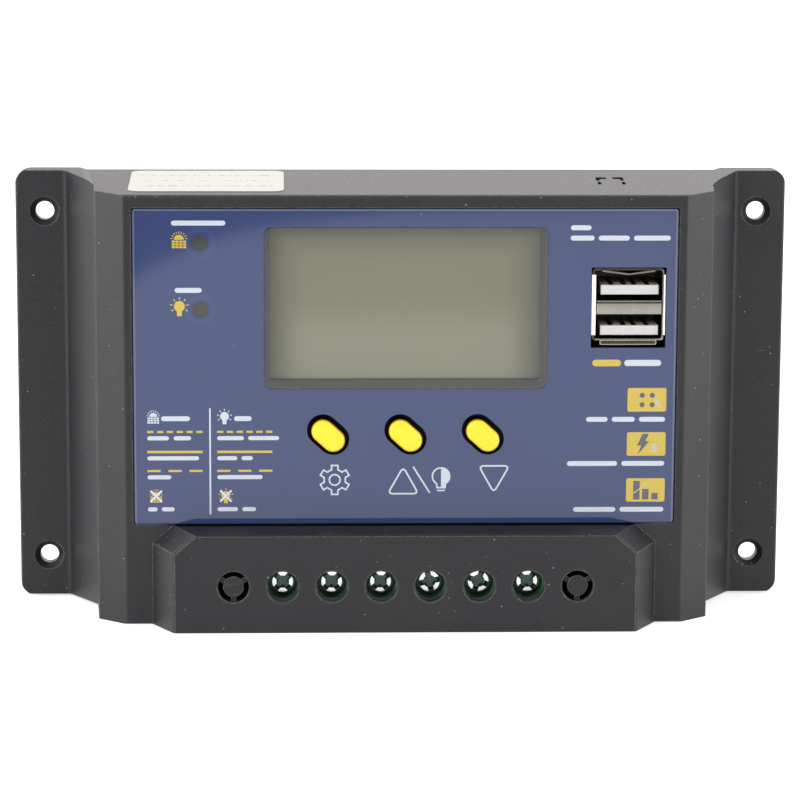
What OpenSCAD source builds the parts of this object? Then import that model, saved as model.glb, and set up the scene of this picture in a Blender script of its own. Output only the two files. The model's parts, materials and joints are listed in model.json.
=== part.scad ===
// Wall-mounted solar charge controller: a hollow moulded case with mounting ears, a printed front
// film over a display, three sprung buttons, a stacked pair of USB power sockets and a row of
// rising-clamp screw terminals. Every sub-part is drawn in the panel frame: x to the right, y up,
// z out of the wall, with the origin on the wall at the centre of the four mounting holes.
// stand() then turns it upright, so that the front faces -Y and up is +Z. Millimetres.

/* [Mounting ears] */
// Distance between the mounting holes from side to side
hole_pitch_x = 141.5; // [138:0.5:150]
// Distance between the mounting holes from top to bottom
hole_pitch_y = 69.7; // [66:0.1:70]
// Diameter of the mounting holes
hole_d = 3.7; // [3:0.1:4.2]
// Diameter of the countersink of the mounting holes
hole_sink_d = 5.9; // [5:0.1:7]
// Material from a mounting hole's axis out to the side edge
ear_margin_x = 5.75; // [4.5:0.05:7]
// Material from a mounting hole's axis to the top and bottom edges
ear_margin_y = 8.35; // [8:0.05:8.6]
// Thickness of the ears
ear_t = 3.4; // [2.4:0.1:4.4]
// Radius of the ears' outer corners
ear_r = 3; // [1:0.5:5]

/* [Case] */
// Width of the body across its shoulders
body_w = 119.6; // [118:0.2:123]
// Height of the top wall over the hole centre, at the wall
body_top = 42.8; // [42.2:0.1:43]
// Depth of the bottom wall under the hole centre
body_bottom = 43.3; // [43.2:0.1:45]
// Depth of the body from the wall to its front face
body_d = 27.7; // [27.7:0.1:31]
// Draft of the moulded walls in degrees
draft = 4; // [2:0.5:5]
// Thickness of the side walls
wall = 2; // [1.6:0.1:2.4]
// Thickness of the front wall
front_wall = 2.8; // [2.4:0.1:3.2]
// Width of the slanted facet at each side of the front
facet_w = 5.7; // [4:0.1:7]
// Depth of the slanted facet
facet_d = 4.7; // [3.5:0.1:6]
// Distance from the wall to the top of the ear wedges
wedge_z = 16.2; // [14:0.1:18]
// Width of the ear wedges
wedge_w = 6.3; // [5:0.1:7]
// Rounding of the moulded edges
edge_r = 0.7; // [0.3:0.1:1.2]

/* [Terminal housing] */
// Width of the terminal housing at its foot
bulge_w = 98; // [92:1:104]
// Height of the terminal housing over the bottom wall
bulge_h = 19.8; // [18:0.1:20]
// How far the terminal housing stands out of the front face
bulge_d = 7.5; // [7:0.1:9]
// Slant of the housing's side walls in degrees
bulge_slant = 29.5; // [20:0.5:35]
// Width of the housing's cut corners
bulge_corner_w = 4.1; // [2:0.1:6]
// Height of the housing's cut corners
bulge_corner_h = 3.6; // [2:0.1:6]
// Diameter of the screwdriver holes
driver_hole_d = 6; // [5.6:0.1:6.6]
// Width of the chamfer around the screwdriver holes and the round knock-outs
driver_hole_sink = 0.2; // [0.1:0.05:0.3]
// Width of the slot around the round knock-outs
knockout_slot = 1; // [0.6:0.1:1.3]
// Depth of the round knock-outs' discs under the face of the housing
knockout_drop = 0.5; // [0:0.1:0.8]
// Depth of the bridges that hold the discs
bridge_drop = 0.9; // [0.5:0.1:1.1]

/* [Front film] */
// Margin between the film and the side edges of the front
film_margin_x = 1.7; // [1:0.1:4]
// Margin between the film and the top edge of the front
film_margin_top = 2.7; // [1.5:0.1:3.2]
// Open groove between the film and the rim at its sides and its top
film_groove = 0.3; // [0.05:0.05:0.4]
// Thickness of the film
film_t = 0.35; // [0.25:0.05:0.6]
// Depth of the film's recess
film_recess = 0.85; // [0.6:0.05:1.1]

/* [Display] */
// Place of the display's centre to the right of the middle
display_x = 0.1; // [-2:0.1:1]
// Height of the display's centre over the hole centre
display_y = 18.9; // [18.4:0.1:19.2]
// Width of the clear window
window_w = 54.6; // [50:0.1:55]
// Height of the clear window
window_h = 31.5; // [28:0.1:32]
// Corner radius of the window
window_r = 1.5; // [0.5:0.1:3]
// Width of the ledge that carries the window
window_ledge = 0.25; // [0.15:0.05:0.4]
// How far the opening's sloped walls come in from the window: left, right, top and bottom
window_slope = [1, 1.3, 0.5, 1.45]; // [0.4:0.05:1.6]
// Width of the display glass
glass_w = 57; // [56.8:0.1:57.4]
// Height of the display glass
glass_h = 34; // [33.4:0.1:34.2]
// Thickness of the display glass
glass_t = 2.7; // [2:0.1:3]
// Thickness of the backlight
backlight_t = 2.5; // [2:0.1:3]
// Number of display pins
display_pins = 16; // [8:1:20]

/* [Indicators] */
// Distance from the indicators to the left edge of the film
led_margin = 12.9; // [10.5:0.1:16]
// Distance from the upper indicator to the top edge of the film
led_drop = 6.5; // [5:0.1:8]
// Distance between the two indicators
led_pitch = 13; // [10:0.1:15]
// Diameter of the indicator lamps
led_d = 3; // [2.6:0.1:3.4]

/* [Buttons] */
// Distance between the buttons
button_pitch = 15; // [13:0.1:15.4]
// Depth of the buttons under the hole centre
button_y = 6; // [5.4:0.1:6.8]
// Radius of a button cap's round ends
button_r = 2.25; // [1.8:0.05:2.35]
// Distance between the centres of a button cap's round ends
button_len = 2.7; // [2:0.1:3.2]
// Slant of the buttons in degrees
button_slant = 42; // [0:1:60]
// Gap between a button cap and its hole
button_gap = 0.85; // [0.4:0.05:0.9]
// How far a button cap stands out of the film
button_proud = 1.2; // [0.8:0.1:2]
// How far the button caps hang under the middle of their holes
button_sag = 0.2; // [0:0.05:0.3]
// Travel of the buttons
button_travel = 0.6; // [0.3:0.05:0.7]

/* [USB sockets] */
// Distance from the sockets' centre to the right edge of the film
usb_margin = 9.3; // [8.8:0.1:9.8]
// Height of the sockets' centre over the hole centre
usb_y = 19.5; // [16:0.1:22]
// Width of the sockets' shell
usb_w = 14; // [13.1:0.1:14.1]
// Height of the sockets' shell
usb_h = 14.2; // [14:0.1:15]
// Distance between the two sockets
usb_pitch = 7.9; // [7.6:0.1:8.1]
// Gap around the shell in the case
usb_gap = 0.25; // [0.2:0.05:0.6]
// Width of the white tongues
tongue_w = 11.2; // [10.6:0.1:11.4]
// Thickness of the white tongues
tongue_t = 1.84; // [1.6:0.02:2]

/* [Terminals] */
// Number of screw terminals
poles = 6; // [4:1:6]
// Distance between the terminals
pole_pitch = 9.5; // [9.4:0.05:9.8]
// Height of the terminal screws over the bottom wall
screw_h = 9.1; // [8.9:0.1:9.3]
// Diameter of the terminal screws' heads
head_d = 4.8; // [4:0.1:4.9]
// Diameter of the wells over the screw heads
well_d = 5.8; // [5:0.1:6.2]
// Diameter of the terminal screws' shanks
shank_d = 3; // [2.6:0.1:3.2]
// Depth of the screw heads' seat under the face of the housing
seat_depth = 6.7; // [6.4:0.1:7]
// Travel of the wire clamps
clamp_travel = 4; // [3:0.1:4.2]
// Width of the clear mouth of the wire clamps
mouth_w = 5.6; // [5:0.1:5.8]
// Height of the clear mouth of the open wire clamps
mouth_h = 5.4; // [5:0.1:5.5]

/* [Boards and power parts] */
// Thickness of the circuit boards
board_t = 1.6; // [1.2:0.1:1.8]
// Thickness of the rear plate
plate_t = 2; // [1.5:0.1:2.2]
// Distance from the wall to the back of the main board
main_z = 8.3; // [8.2:0.1:8.6]
// Number of power transistors
transistors = 4; // [2:1:5]
// Distance between the power transistors
transistor_pitch = 22; // [16:0.5:24]
// Diameter of the capacitors
capacitor_d = 10; // [8:0.5:10]
// Gap between the capacitors and the front wall
capacitor_gap = 1.4; // [1:0.1:4]
// Distance of the outer capacitor to the left of the middle
capacitor_x = 34; // [30:0.5:38]
// Distance between the capacitors
capacitor_pitch = 14; // [12:0.5:16]
// Distance of the inductor to the right of the middle
inductor_x = 34; // [26:0.5:38]
// Diameter of the inductor
inductor_d = 10; // [8:0.5:12]

/* [Rating sticker] */
// Width of the sticker
sticker_w = 30; // [20:0.5:40]
// Height of the sticker
sticker_h = 21.6; // [15:0.1:23]
// Distance of the sticker's centre to the left of the middle
sticker_x = 38.4; // [25:0.1:39]

/* [Hidden] */
$fn = 48;

// Clearances: gap is between seated pieces, fit is radial between a shaft and its hole
gap = 0.1;
fit = 0.06;
over = 1;
span = 200;

// Case
case_w = hole_pitch_x + 2 * ear_margin_x;
ear_h = hole_pitch_y + 2 * ear_margin_y;
shoulder_z = body_d - facet_d;
inner_z = body_d - front_wall;
film_z = body_d - film_recess;
film_top_z = film_z + film_t;
front_half = body_w / 2 - facet_w;
tip_x = body_half(wedge_z);
foot_x = tip_x + wedge_w;
step_x = body_half(0) + 1.1;
mouth_half = body_half(0) + 0.6;

// Terminal housing
bulge_z = body_d + bulge_d;
bulge_wall = 1.8;
bulge_edge = 0.5;
pole_y = screw_h - body_bottom;

// Front film
film_w = 2 * (front_half - film_margin_x);
film_top_y = top_wall(body_d) - film_margin_top;
film_bottom_y = bulge_h + 0.1 - body_bottom;
film_h = film_top_y - film_bottom_y;
film_y = (film_top_y + film_bottom_y) / 2;
led_x = film_w / 2 - led_margin;
led_y = film_top_y - led_drop;
usb_x = film_w / 2 - usb_margin;

// Display stack, from the front wall back to its board
frame_top_z = inner_z - gap;
frame_lip = 0.7;
frame_wall = 1.1;
frame_w = glass_w + 2 * frame_wall;
frame_h = glass_h + 2 * frame_wall;
glass_z = frame_top_z - frame_lip - glass_t;
backlight_z = glass_z - backlight_t;
display_z = backlight_z - gap - board_t;
display_top_z = display_z + board_t;
display_left = -(led_x + 6.5);
display_right = usb_x - usb_w / 2 - 1.2;
display_bottom = -(button_y + 7);
display_top = display_y + frame_h / 2 + 1;
pin_y = display_y - glass_h / 2 + 1.3;

// Buttons and their switches
switch_w = 6;
switch_h = 3.4;
switch_cover_t = 0.3;
plunger_r = 1.7;
flange_t = 1;
flange_z = inner_z - 2 * gap - flange_t;
plunger_z = display_top_z + 2 + button_travel;

// Boards and posts
main_top_z = main_z + board_t;
post_r = 2.7;
rear_post_r = 3;
rear_post_x = mouth_half - rear_post_r - 0.7;
rear_post_top = top_wall(plate_t) - wall - rear_post_r;
rear_post_bottom = -body_bottom + wall + rear_post_r;
rear_post_h = 12;
board_half = rear_post_x - rear_post_r - 0.8;
board_top = top_wall(main_top_z) - wall - 1;
board_bottom = wall + 0.6 - body_bottom;
main_post_x = board_half - 3.4;
main_post_top = board_top - 3.6;
main_post_bottom = board_bottom + 3.6;
pilot_d = 2.6;
core_d = 2.4;
screw_clear_d = 3.2;

// USB sockets
usb_metal = 0.4;
usb_corner_drop = 0.5;
usb_flange_left = 0.8;
usb_flange_right = 0.45;
usb_front_z = film_top_z - 0.4;
usb_back_z = main_top_z;
usb_lip = 0.7;
usb_cut_w = usb_w + 2 * usb_gap;
usb_cut_h = usb_h + 2 * usb_gap + usb_lip + 0.3;
usb_cut_y = usb_y - (usb_lip + 0.3) / 2;
port_h = 5.3;

// Terminals, from the main board out to the housing
first_pole = -(poles - 1) / 2;
seat_z = bulge_z - seat_depth;
clamp_wall = 0.9;
clamp_floor = 1.4;
clamp_roof = 2.2;
clamp_w = mouth_w + 2 * clamp_wall;
clamp_l = 7.4;
bar_t = 1;
bar_w = mouth_w - 0.6;
block_z = main_top_z;
block_top_z = bulge_z - bulge_wall - 0.2;
block_front_y = wall + 0.2 - body_bottom;
block_back_y = pole_y + 5;
pocket_gap = 0.1;
shelf_t = 1.2;
pocket_top_z = seat_z - shelf_t;
clamp_top_z = pocket_top_z - 0.2 - clamp_travel;
bar_z = clamp_top_z - clamp_roof - 0.2 - bar_t;
mouth_z = bar_z - mouth_h;
clamp_z = mouth_z - clamp_floor;
pocket_z = clamp_z - 0.2;
head_t = 2;
wire_window_w = mouth_w + 1.4;
wire_window_h = mouth_h + 2;
screw_angles = [45, 43, 42, 12, 70, 48];

// Power parts
pad_t = 0.3;
tab_t = 1.3;
transistor_w = 10.2;
transistor_t = 4.5;
transistor_l = 9.2;
transistor_y = -2;
tab_l = 18;
tab_hole = tab_l - 2.8;
leg_pitch = 2.54;
component_y = (display_bottom + block_back_y) / 2;
capacitor_h = inner_z - capacitor_gap - main_top_z;
inductor_h = 6;
shunt_w = 9;
shunt_h = 5;
shunt_x = [-3, 11];
chip_x = [-28, -14, 30];
chip_drop = 8;

// ---- Shapes that repeat --------------------------------------------------------------------

function unit(v) = v / norm(v);
function body_half(z) = body_w / 2 + (shoulder_z - z) * tan(draft);
function top_wall(z) = body_top - z * tan(draft);
function previous(i, points) = points[(i + len(points) - 1) % len(points)];
function next(i, points) = points[(i + 1) % len(points)];

// Arc of radius r in the corner p between the points a and b
function corner_arc(a, p, b, r, steps) =
    r <= 0 ? [p] :
    let (u = unit(a - p), v = unit(b - p), half = acos(u * v) / 2,
        centre = p + unit(u + v) * r / sin(half),
        from = p + u * r / tan(half) - centre, to = p + v * r / tan(half) - centre,
        start = atan2(from.y, from.x),
        turn = (atan2(to.y, to.x) - start + 540) % 360 - 180)
    [for (i = [0:steps]) centre + r * [cos(start + turn * i / steps), sin(start + turn * i / steps)]];

// Polygon with its corners rounded by the radii
function rounded(points, radii, steps = 3) =
    [for (i = [0:len(points) - 1])
        each corner_arc(previous(i, points), points[i], next(i, points), radii[i], steps)];

// Corner of a polygon that runs anticlockwise, moved inwards by t
function inset_corner(a, p, b, t) =
    let (u = unit(p - a), v = unit(b - p), n = [-u.y, u.x], m = [-v.y, v.x])
    p + (n + m) * t / (1 + n * m);
function inset(points, t) =
    [for (i = [0:len(points) - 1]) inset_corner(previous(i, points), points[i], next(i, points), t)];

// Half an outline and its mirror image
function both_halves(half) = concat(half, [for (i = [len(half) - 1:-1:0]) [-half[i].x, half[i].y]]);
function there_and_back(values) = concat(values, [for (i = [len(values) - 1:-1:0]) values[i]]);

// From the panel frame to the upright frame
module stand() { rotate([90, 0, 0]) children(); }
module both_sides() { children(); mirror([1, 0, 0]) children(); }
// Extrusions of an outline in x and z along y, and of an outline in y and z along x
module along_y(length) { rotate([90, 0, 0]) linear_extrude(length, center = true) children(); }
module along_x(length) { rotate([90, 0, 90]) linear_extrude(length, center = true) children(); }

module rounded_square(w, h, r) {
    square([w - 2 * r, h], center = true);
    square([w, h - 2 * r], center = true);
    for (x = [-1, 1], y = [-1, 1]) translate([x * (w / 2 - r), y * (h / 2 - r)]) circle(r);
}

// Block with its low corner and its size given
module block(x, y, z, w, h, d) { translate([x, y, z]) cube([w, h, d]); }
// Block centred on x and y
module pad(x, y, z, w, h, d) { translate([x - w / 2, y - h / 2, z]) cube([w, h, d]); }
// Pin along z
module pin(x, y, z, d, length) { translate([x, y, z]) cylinder(d = d, h = length); }

// Outline with round ends, as the buttons and their holes have
module obround(r, length) {
    square([length, 2 * r], center = true);
    for (x = [-1, 1]) translate([x * length / 2, 0]) circle(r);
}

// A turned profile whose two halves are drawn apart by length along x
module drawn_apart(length) {
    for (x = [-1, 1]) translate([x * length / 2, 0, 0]) rotate_extrude() children();
    along_x(length) { children(); mirror([1, 0]) children(); }
}

// Cross recess of a screw head whose top is at z = 0
module screw_recess(d, depth) {
    for (a = [0, 90]) rotate(a)
        along_y(0.24 * d)
            polygon([[-0.42 * d, over], [-0.42 * d, 0], [-0.3 * d, -depth],
                [0.3 * d, -depth], [0.42 * d, 0], [0.42 * d, over]]);
    translate([0, 0, -depth]) cylinder(d1 = 0.3 * d, d2 = 0.52 * d, h = depth + 0.01);
}

// Countersunk screw that points along +z, with its head's face at z = 0
module countersunk_screw(length) {
    head = 5.4;
    sink = (head - core_d) / 2;
    difference() {
        union() {
            cylinder(d1 = head, d2 = core_d, h = sink);
            cylinder(d = core_d, h = length);
        }
        mirror([0, 0, 1]) screw_recess(0.7 * head, 1);
    }
}

// Pan-head screw that points along +z, with its head behind z = 0
module pan_screw(length) {
    head = 5;
    head_h = 1.7;
    difference() {
        union() {
            translate([0, 0, -head_h]) cylinder(d1 = head - 1.4, d2 = head, h = head_h / 2);
            translate([0, 0, -head_h / 2]) cylinder(d = head, h = head_h / 2);
            cylinder(d = core_d, h = length);
        }
        translate([0, 0, -head_h]) mirror([0, 0, 1]) screw_recess(0.7 * head, 1);
    }
}

// Places of the repeating pieces
module at_mounting_holes() {
    for (x = [-1, 1], y = [-1, 1]) translate([x * hole_pitch_x / 2, y * hole_pitch_y / 2, 0]) children();
}
module at_rear_posts() {
    for (x = [-1, 1], y = [rear_post_bottom, rear_post_top]) translate([x * rear_post_x, y, 0]) children();
}
module at_main_posts() {
    for (x = [-1, 1], y = [main_post_bottom, main_post_top]) translate([x * main_post_x, y, 0]) children();
}
module at_display_posts() {
    for (place = [[display_left + 3, display_bottom + 3], [display_left + 3, display_top - 2.8],
        [display_right - 2.6, display_bottom + 3]])
        translate(place) children();
}
module at_button(i) {
    translate([display_x + (i - 1) * button_pitch, -button_y, 0]) rotate(-button_slant) children();
}
module button_holes(z) {
    for (i = [0:2]) translate([0, button_sag, z]) at_button(i)
        linear_extrude(span) obround(button_r + button_gap, button_len);
}
module at_leds() {
    for (i = [0, 1]) translate([-led_x, led_y - i * led_pitch, 0]) children();
}
module at_pole(i) { translate([(first_pole + i) * pole_pitch, pole_y, 0]) children(); }
module at_poles() { for (i = [0:poles - 1]) at_pole(i) children(); }
module at_transistors() {
    for (i = [0:transistors - 1])
        translate([(i - (transistors - 1) / 2) * transistor_pitch, transistor_y, 0]) children();
}
module at_header_pins() {
    for (i = [0:7]) translate([display_left + 7 + i * 2.54, transistor_y, 0]) children();
}

// ---- Case ----------------------------------------------------------------------------------

// Body in plan: side walls, shoulders and facets
module body_solid() {
    half = [[body_half(0), 0], [body_half(shoulder_z), shoulder_z], [front_half, body_d]];
    side = [[-body_bottom, 0], [top_wall(0), 0], [top_wall(body_d), body_d], [-body_bottom, body_d]];
    intersection() {
        along_y(span) polygon(rounded(both_halves(half), there_and_back([0, edge_r, edge_r])));
        along_x(span) polygon(rounded(side, [0, 0, edge_r, edge_r / 2]));
    }
}

// Flat ear and the wedge that joins it to the body, on the right
module ear_solid() {
    plan = [[body_half(0) - 1, 0], [case_w / 2, 0], [case_w / 2, ear_t], [foot_x, ear_t],
        [tip_x, wedge_z], [tip_x - 1, wedge_z]];
    slope = wedge_z * tan(draft);
    side = [[-ear_h / 2, 0], [ear_h / 2, 0], [ear_h / 2 - slope, wedge_z], [slope - ear_h / 2, wedge_z]];
    difference() {
        intersection() {
            along_y(span) polygon(rounded(plan, [0, 0, 0.5, 1, 0.3, 0]));
            along_x(span) polygon(side);
            linear_extrude(wedge_z) rounded_square(case_w, ear_h, ear_r);
        }
        ear_step();
    }
}

// What is cut from the ear's top edge, so that it falls to the body's top along a slant
module ear_step() {
    on_top_wall() intersection() {
        translate([step_x, 0, 0]) rotate(atan((step_x - tip_x) / wedge_z)) rotate([0, 72, 0])
            block(-span, -over, -span / 2, span, 2 * wedge_z, span);
        block(0, -over, 0, span, 2 * wedge_z, span);
    }
}

// Outline of the terminal housing, narrowed by t, at a distance z from the wall
module bulge_slice(z, t) {
    half = bulge_w / 2 - (z - body_d) * tan(bulge_slant) - t;
    top = bulge_h - (z - body_d) * tan(draft) - t - body_bottom;
    bottom = -body_bottom;
    translate([0, 0, z]) linear_extrude(0.01) polygon(both_halves([[half, bottom],
        [half, top - bulge_corner_h], [half - bulge_corner_w, top]]));
}
module bulge_solid() {
    hull() {
        bulge_slice(film_z, 0);
        bulge_slice(bulge_z - bulge_edge, 0);
        bulge_slice(bulge_z - 0.01, bulge_edge / 2);
    }
}

module case_hollow() {
    half = [[foot_x + 3 * wedge_w / 2, -wedge_z], [tip_x, wedge_z],
        [body_half(shoulder_z), shoulder_z], [front_half, body_d]];
    side = [[-body_bottom, -span], [top_wall(-span), -span], [top_wall(body_d), body_d],
        [-body_bottom, body_d]];
    intersection() {
        along_y(span) polygon(inset(both_halves(half), wall));
        along_x(span) polygon(inset(side, wall));
        translate([-mouth_half, -span / 2, -over]) cube([2 * mouth_half, span, inner_z + over]);
    }
    intersection() {
        hull() {
            bulge_slice(inner_z - 0.1, 1.1 * bulge_wall);
            bulge_slice(bulge_z - bulge_wall, 1.1 * bulge_wall);
        }
        block(-span / 2, wall - body_bottom, 0, span, span, span);
    }
}

module case_posts() {
    intersection() {
        union() {
            body_solid();
            bulge_solid();
        }
        union() {
            at_rear_posts() pin(0, 0, plate_t, 2 * rear_post_r, rear_post_h);
            at_main_posts() pin(0, 0, main_top_z, 2 * post_r, span);
            at_display_posts() pin(0, 0, display_top_z, 4.4, span);
        }
    }
}

// Chamfer around a hole in the face of the terminal housing
module driver_hole_edge() {
    translate([0, 0, bulge_z - driver_hole_sink])
        cylinder(d1 = driver_hole_d, d2 = driver_hole_d + 2 * driver_hole_sink + 0.02,
            h = driver_hole_sink + 0.01);
}

// Round knock-out: a ring slot around a sunken disc, which three lower bridges hold
module ring_slot() {
    driver_hole_edge();
    difference() {
        pin(0, 0, inner_z, driver_hole_d, span);
        pin(0, 0, 0, driver_hole_d - 2 * knockout_slot, bulge_z - knockout_drop);
        for (a = [30, 150, 270]) rotate(a) block(0, -0.5, 0, span, 1, bulge_z - bridge_drop);
    }
}

// Opening behind the clear window, with walls that slope inwards to the display
module display_opening() {
    left = -window_w / 2 + window_slope[0];
    right = window_w / 2 - window_slope[1];
    top = window_h / 2 - window_slope[2];
    bottom = window_slope[3] - window_h / 2;
    translate([display_x, display_y, 0]) hull() {
        translate([0, 0, film_z]) linear_extrude(0.01)
            rounded_square(window_w - 2 * window_ledge, window_h - 2 * window_ledge, window_r);
        translate([(left + right) / 2, (top + bottom) / 2, inner_z - 0.01]) linear_extrude(0.01)
            rounded_square(right - left, top - bottom, 0.6);
    }
}

// Rectangular knock-out in the top wall, as slots in a plane with its y axis away from the wall
module top_knockout() {
    x = 37.9;
    w = 5.5;
    slot = 0.75;
    for (side = [x, x + w - slot]) {
        translate([side, 8.6]) square([slot, 3.6]);
        translate([side, 13.6]) square([slot, 2.7]);
    }
    translate([x, 8.6]) square([(w - 1.2) / 2, 2]);
    translate([x + (w + 1.2) / 2, 8.6]) square([(w - 1.2) / 2, 2]);
}

// Plane of the drafted top wall: x as before, y away from the wall, z out of the case
module on_top_wall() {
    translate([0, body_top, 0]) rotate([90 + draft, 0, 0]) mirror([0, 0, 1]) children();
}

module front_shell() {
    color([0.16, 0.16, 0.17]) stand() difference() {
        union() {
            difference() {
                union() {
                    body_solid();
                    both_sides() ear_solid();
                    bulge_solid();
                }
                case_hollow();
            }
            case_posts();
        }
        at_mounting_holes() {
            pin(0, 0, -over, hole_d, span);
            translate([0, 0, ear_t - (hole_sink_d - hole_d) / 2])
                cylinder(d1 = hole_d, d2 = hole_sink_d + 0.02, h = (hole_sink_d - hole_d) / 2 + 0.01);
        }
        translate([0, film_y + film_groove / 2, film_z]) linear_extrude(over)
            rounded_square(film_w + 2 * film_groove, film_h + film_groove, 0.5);
        display_opening();
        at_leds() pin(0, 0, inner_z - over, led_d + 0.4, span);
        button_holes(inner_z - over);
        pad(usb_x, usb_cut_y, inner_z - over, usb_cut_w, usb_cut_h, span);
        at_poles() {
            pin(0, 0, inner_z, driver_hole_d, span);
            block(-wire_window_w / 2, -span, mouth_z - 1, wire_window_w, span - screw_h + wall + over,
                wire_window_h);
        }
        at_poles() driver_hole_edge();
        for (i = [-1, poles]) at_pole(i) ring_slot();
        on_top_wall() translate([0, 0, -wall - over]) linear_extrude(wall + 2 * over) top_knockout();
        at_rear_posts() pin(0, 0, 0, pilot_d, rear_post_h);
        at_main_posts() pin(0, 0, 0, pilot_d, main_top_z + 9);
        at_display_posts() pin(0, 0, 0, pilot_d, display_top_z + 4.5);
    }
}

module rear_plate() {
    half_h = (top_wall(plate_t) + body_bottom) / 2 - wall - 0.2;
    middle = (top_wall(plate_t) - body_bottom) / 2;
    sink = 1.6;
    color([0.62, 0.63, 0.65]) stand() difference() {
        translate([0, middle, 0]) linear_extrude(plate_t)
            rounded_square(2 * (mouth_half - 0.2), 2 * half_h, 1);
        at_rear_posts() {
            pin(0, 0, -over, screw_clear_d, span);
            translate([0, 0, -0.01]) cylinder(d1 = 5.8, d2 = 5.8 - 2 * sink, h = sink);
        }
        at_transistors() translate([0, tab_hole, 0]) {
            pin(0, 0, -over, screw_clear_d, span);
            translate([0, 0, -0.01]) cylinder(d1 = 5.8, d2 = 5.8 - 2 * sink, h = sink);
        }
    }
}

module rear_screws() {
    color("silver") stand() at_rear_posts() translate([0, 0, 0.1]) countersunk_screw(10);
}

// ---- Front film, display and indicators ----------------------------------------------------

module front_film() {
    color([0.25, 0.29, 0.5]) stand() difference() {
        translate([0, film_y, film_z]) linear_extrude(film_t) rounded_square(film_w, film_h, 0.5);
        translate([display_x, display_y, film_z - over]) linear_extrude(span)
            rounded_square(window_w + 0.06, window_h + 0.06, window_r);
        at_leds() pin(0, 0, film_z - over, led_d + 0.06, span);
        button_holes(film_z - over);
        pad(usb_x, usb_cut_y, film_z - over, usb_cut_w, usb_cut_h, span);
    }
}

module display_window() {
    color([0.8, 0.85, 0.85, 0.4]) stand() translate([display_x, display_y, film_z])
        linear_extrude(film_t) rounded_square(window_w, window_h, window_r - 0.03);
}

module indicator_windows() {
    color([0.2, 0.2, 0.22, 0.8]) stand() at_leds() pin(0, 0, film_z, led_d, film_t);
}

// Two glass sheets: the rear one is taller and carries the pins on its ledge
module display_glass() {
    color([0.5, 0.53, 0.45]) stand() translate([display_x, display_y, glass_z]) {
        linear_extrude(glass_t / 2) square([glass_w, glass_h], center = true);
        translate([0, 1.4, glass_t / 2]) linear_extrude(glass_t / 2)
            square([glass_w, glass_h - 2.8], center = true);
    }
}

module display_frame() {
    clip_w = 6;
    color([0.1, 0.1, 0.11]) stand() translate([display_x, display_y, 0]) difference() {
        translate([0, 0, display_top_z]) linear_extrude(frame_top_z - display_top_z)
            rounded_square(frame_w, frame_h, 1);
        pad(0, 0, display_top_z - over, glass_w + 0.2, glass_h + 0.2,
            glass_z + glass_t + 0.05 - display_top_z + over);
        pad(0, 0.4, 0, glass_w - 2.4, glass_h - 2.4, span);
        for (x = [-1, 1], y = [-1, 1])
            pad(x * frame_w / 4, y * frame_h / 2, display_top_z - over, clip_w, frame_wall, 2 + over);
    }
}

module backlight() {
    color([0.92, 0.93, 0.9]) stand()
        pad(display_x, display_y + 1.6, backlight_z, glass_w - 1, glass_h - 4.4, backlight_t);
}

module display_pin_row() {
    pitch = (glass_w - 8) / (display_pins - 1);
    color("silver") stand() for (i = [0:display_pins - 1])
        pin(display_x - (glass_w - 8) / 2 + i * pitch, pin_y, display_z - 0.8, 0.5,
            glass_z - display_z + 0.8);
}

module led(i) {
    base_z = display_top_z + 2.2;
    tip_z = film_z - 0.4;
    color([0.85, 0.88, 0.85, 0.7]) stand() translate([-led_x, led_y - i * led_pitch, 0]) {
        pin(0, 0, base_z, led_d + 0.8, 0.9);
        pin(0, 0, base_z, led_d, tip_z - led_d / 2 - base_z);
        translate([0, 0, tip_z - led_d / 2]) rotate_extrude() intersection() {
            circle(led_d / 2);
            square(led_d);
        }
    }
}
module led_upper() { led(0); }
module led_lower() { led(1); }

module led_legs() {
    color("silver") stand() at_leds() for (x = [-1.27, 1.27])
        pad(x, 0, display_z - 1, 0.5, 0.5, display_top_z + 2.2 - display_z + 1);
}

// ---- Buttons -------------------------------------------------------------------------------

// Slanted cap with a crowned top, and a flange that keeps it inside the case
module button(i) {
    top_z = film_top_z + button_proud;
    crown = 0.25;
    round_r = 0.6;
    steps = 6;
    profile = concat([[0, flange_z], [button_r + button_gap + 0.6, flange_z],
        [button_r + button_gap + 0.6, flange_z + flange_t], [button_r, flange_z + flange_t]],
        [for (s = [0:steps]) [button_r - round_r + round_r * cos(90 * s / steps),
            top_z - crown - round_r + round_r * sin(90 * s / steps)]],
        [[0, top_z]]);
    color([1, 0.88, 0.12]) stand() at_button(i) drawn_apart(button_len) polygon(profile);
}
module button_left() { button(0); }
module button_middle() { button(1); }
module button_right() { button(2); }

module plunger(i) {
    color([0.15, 0.15, 0.16]) stand() at_button(i)
        pin(0, 0, plunger_z, 2 * plunger_r, flange_z - plunger_z);
}
module plunger_left() { plunger(0); }
module plunger_middle() { plunger(1); }
module plunger_right() { plunger(2); }

module switch_bodies() {
    color([0.12, 0.12, 0.13]) stand() for (i = [0:2]) at_button(i) rotate(button_slant) difference() {
        pad(0, 0, display_top_z, switch_w, switch_w, switch_h);
        pin(0, 0, plunger_z - button_travel - gap, 2 * (plunger_r + fit), span);
    }
}

// Pressed metal cover of each switch, with two legs bent over its sides and down into the board
module switch_covers() {
    top_z = display_top_z + switch_h;
    leg = 0.5;
    color("silver") stand() for (i = [0:2]) at_button(i) rotate(button_slant) {
        difference() {
            pad(0, 0, top_z, switch_w, switch_w, switch_cover_t);
            pin(0, 0, top_z - over, 2 * plunger_r + 0.6, span);
        }
        for (x = [-1, 1], y = [-2.25, 2.25]) {
            pad(x * (switch_w / 2 + leg / 2), y, display_z - 1, leg, 0.7,
                top_z + switch_cover_t - display_z + 1);
            pad(x * switch_w / 2, y, top_z, 2 * leg, 0.7, switch_cover_t);
        }
    }
}

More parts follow.
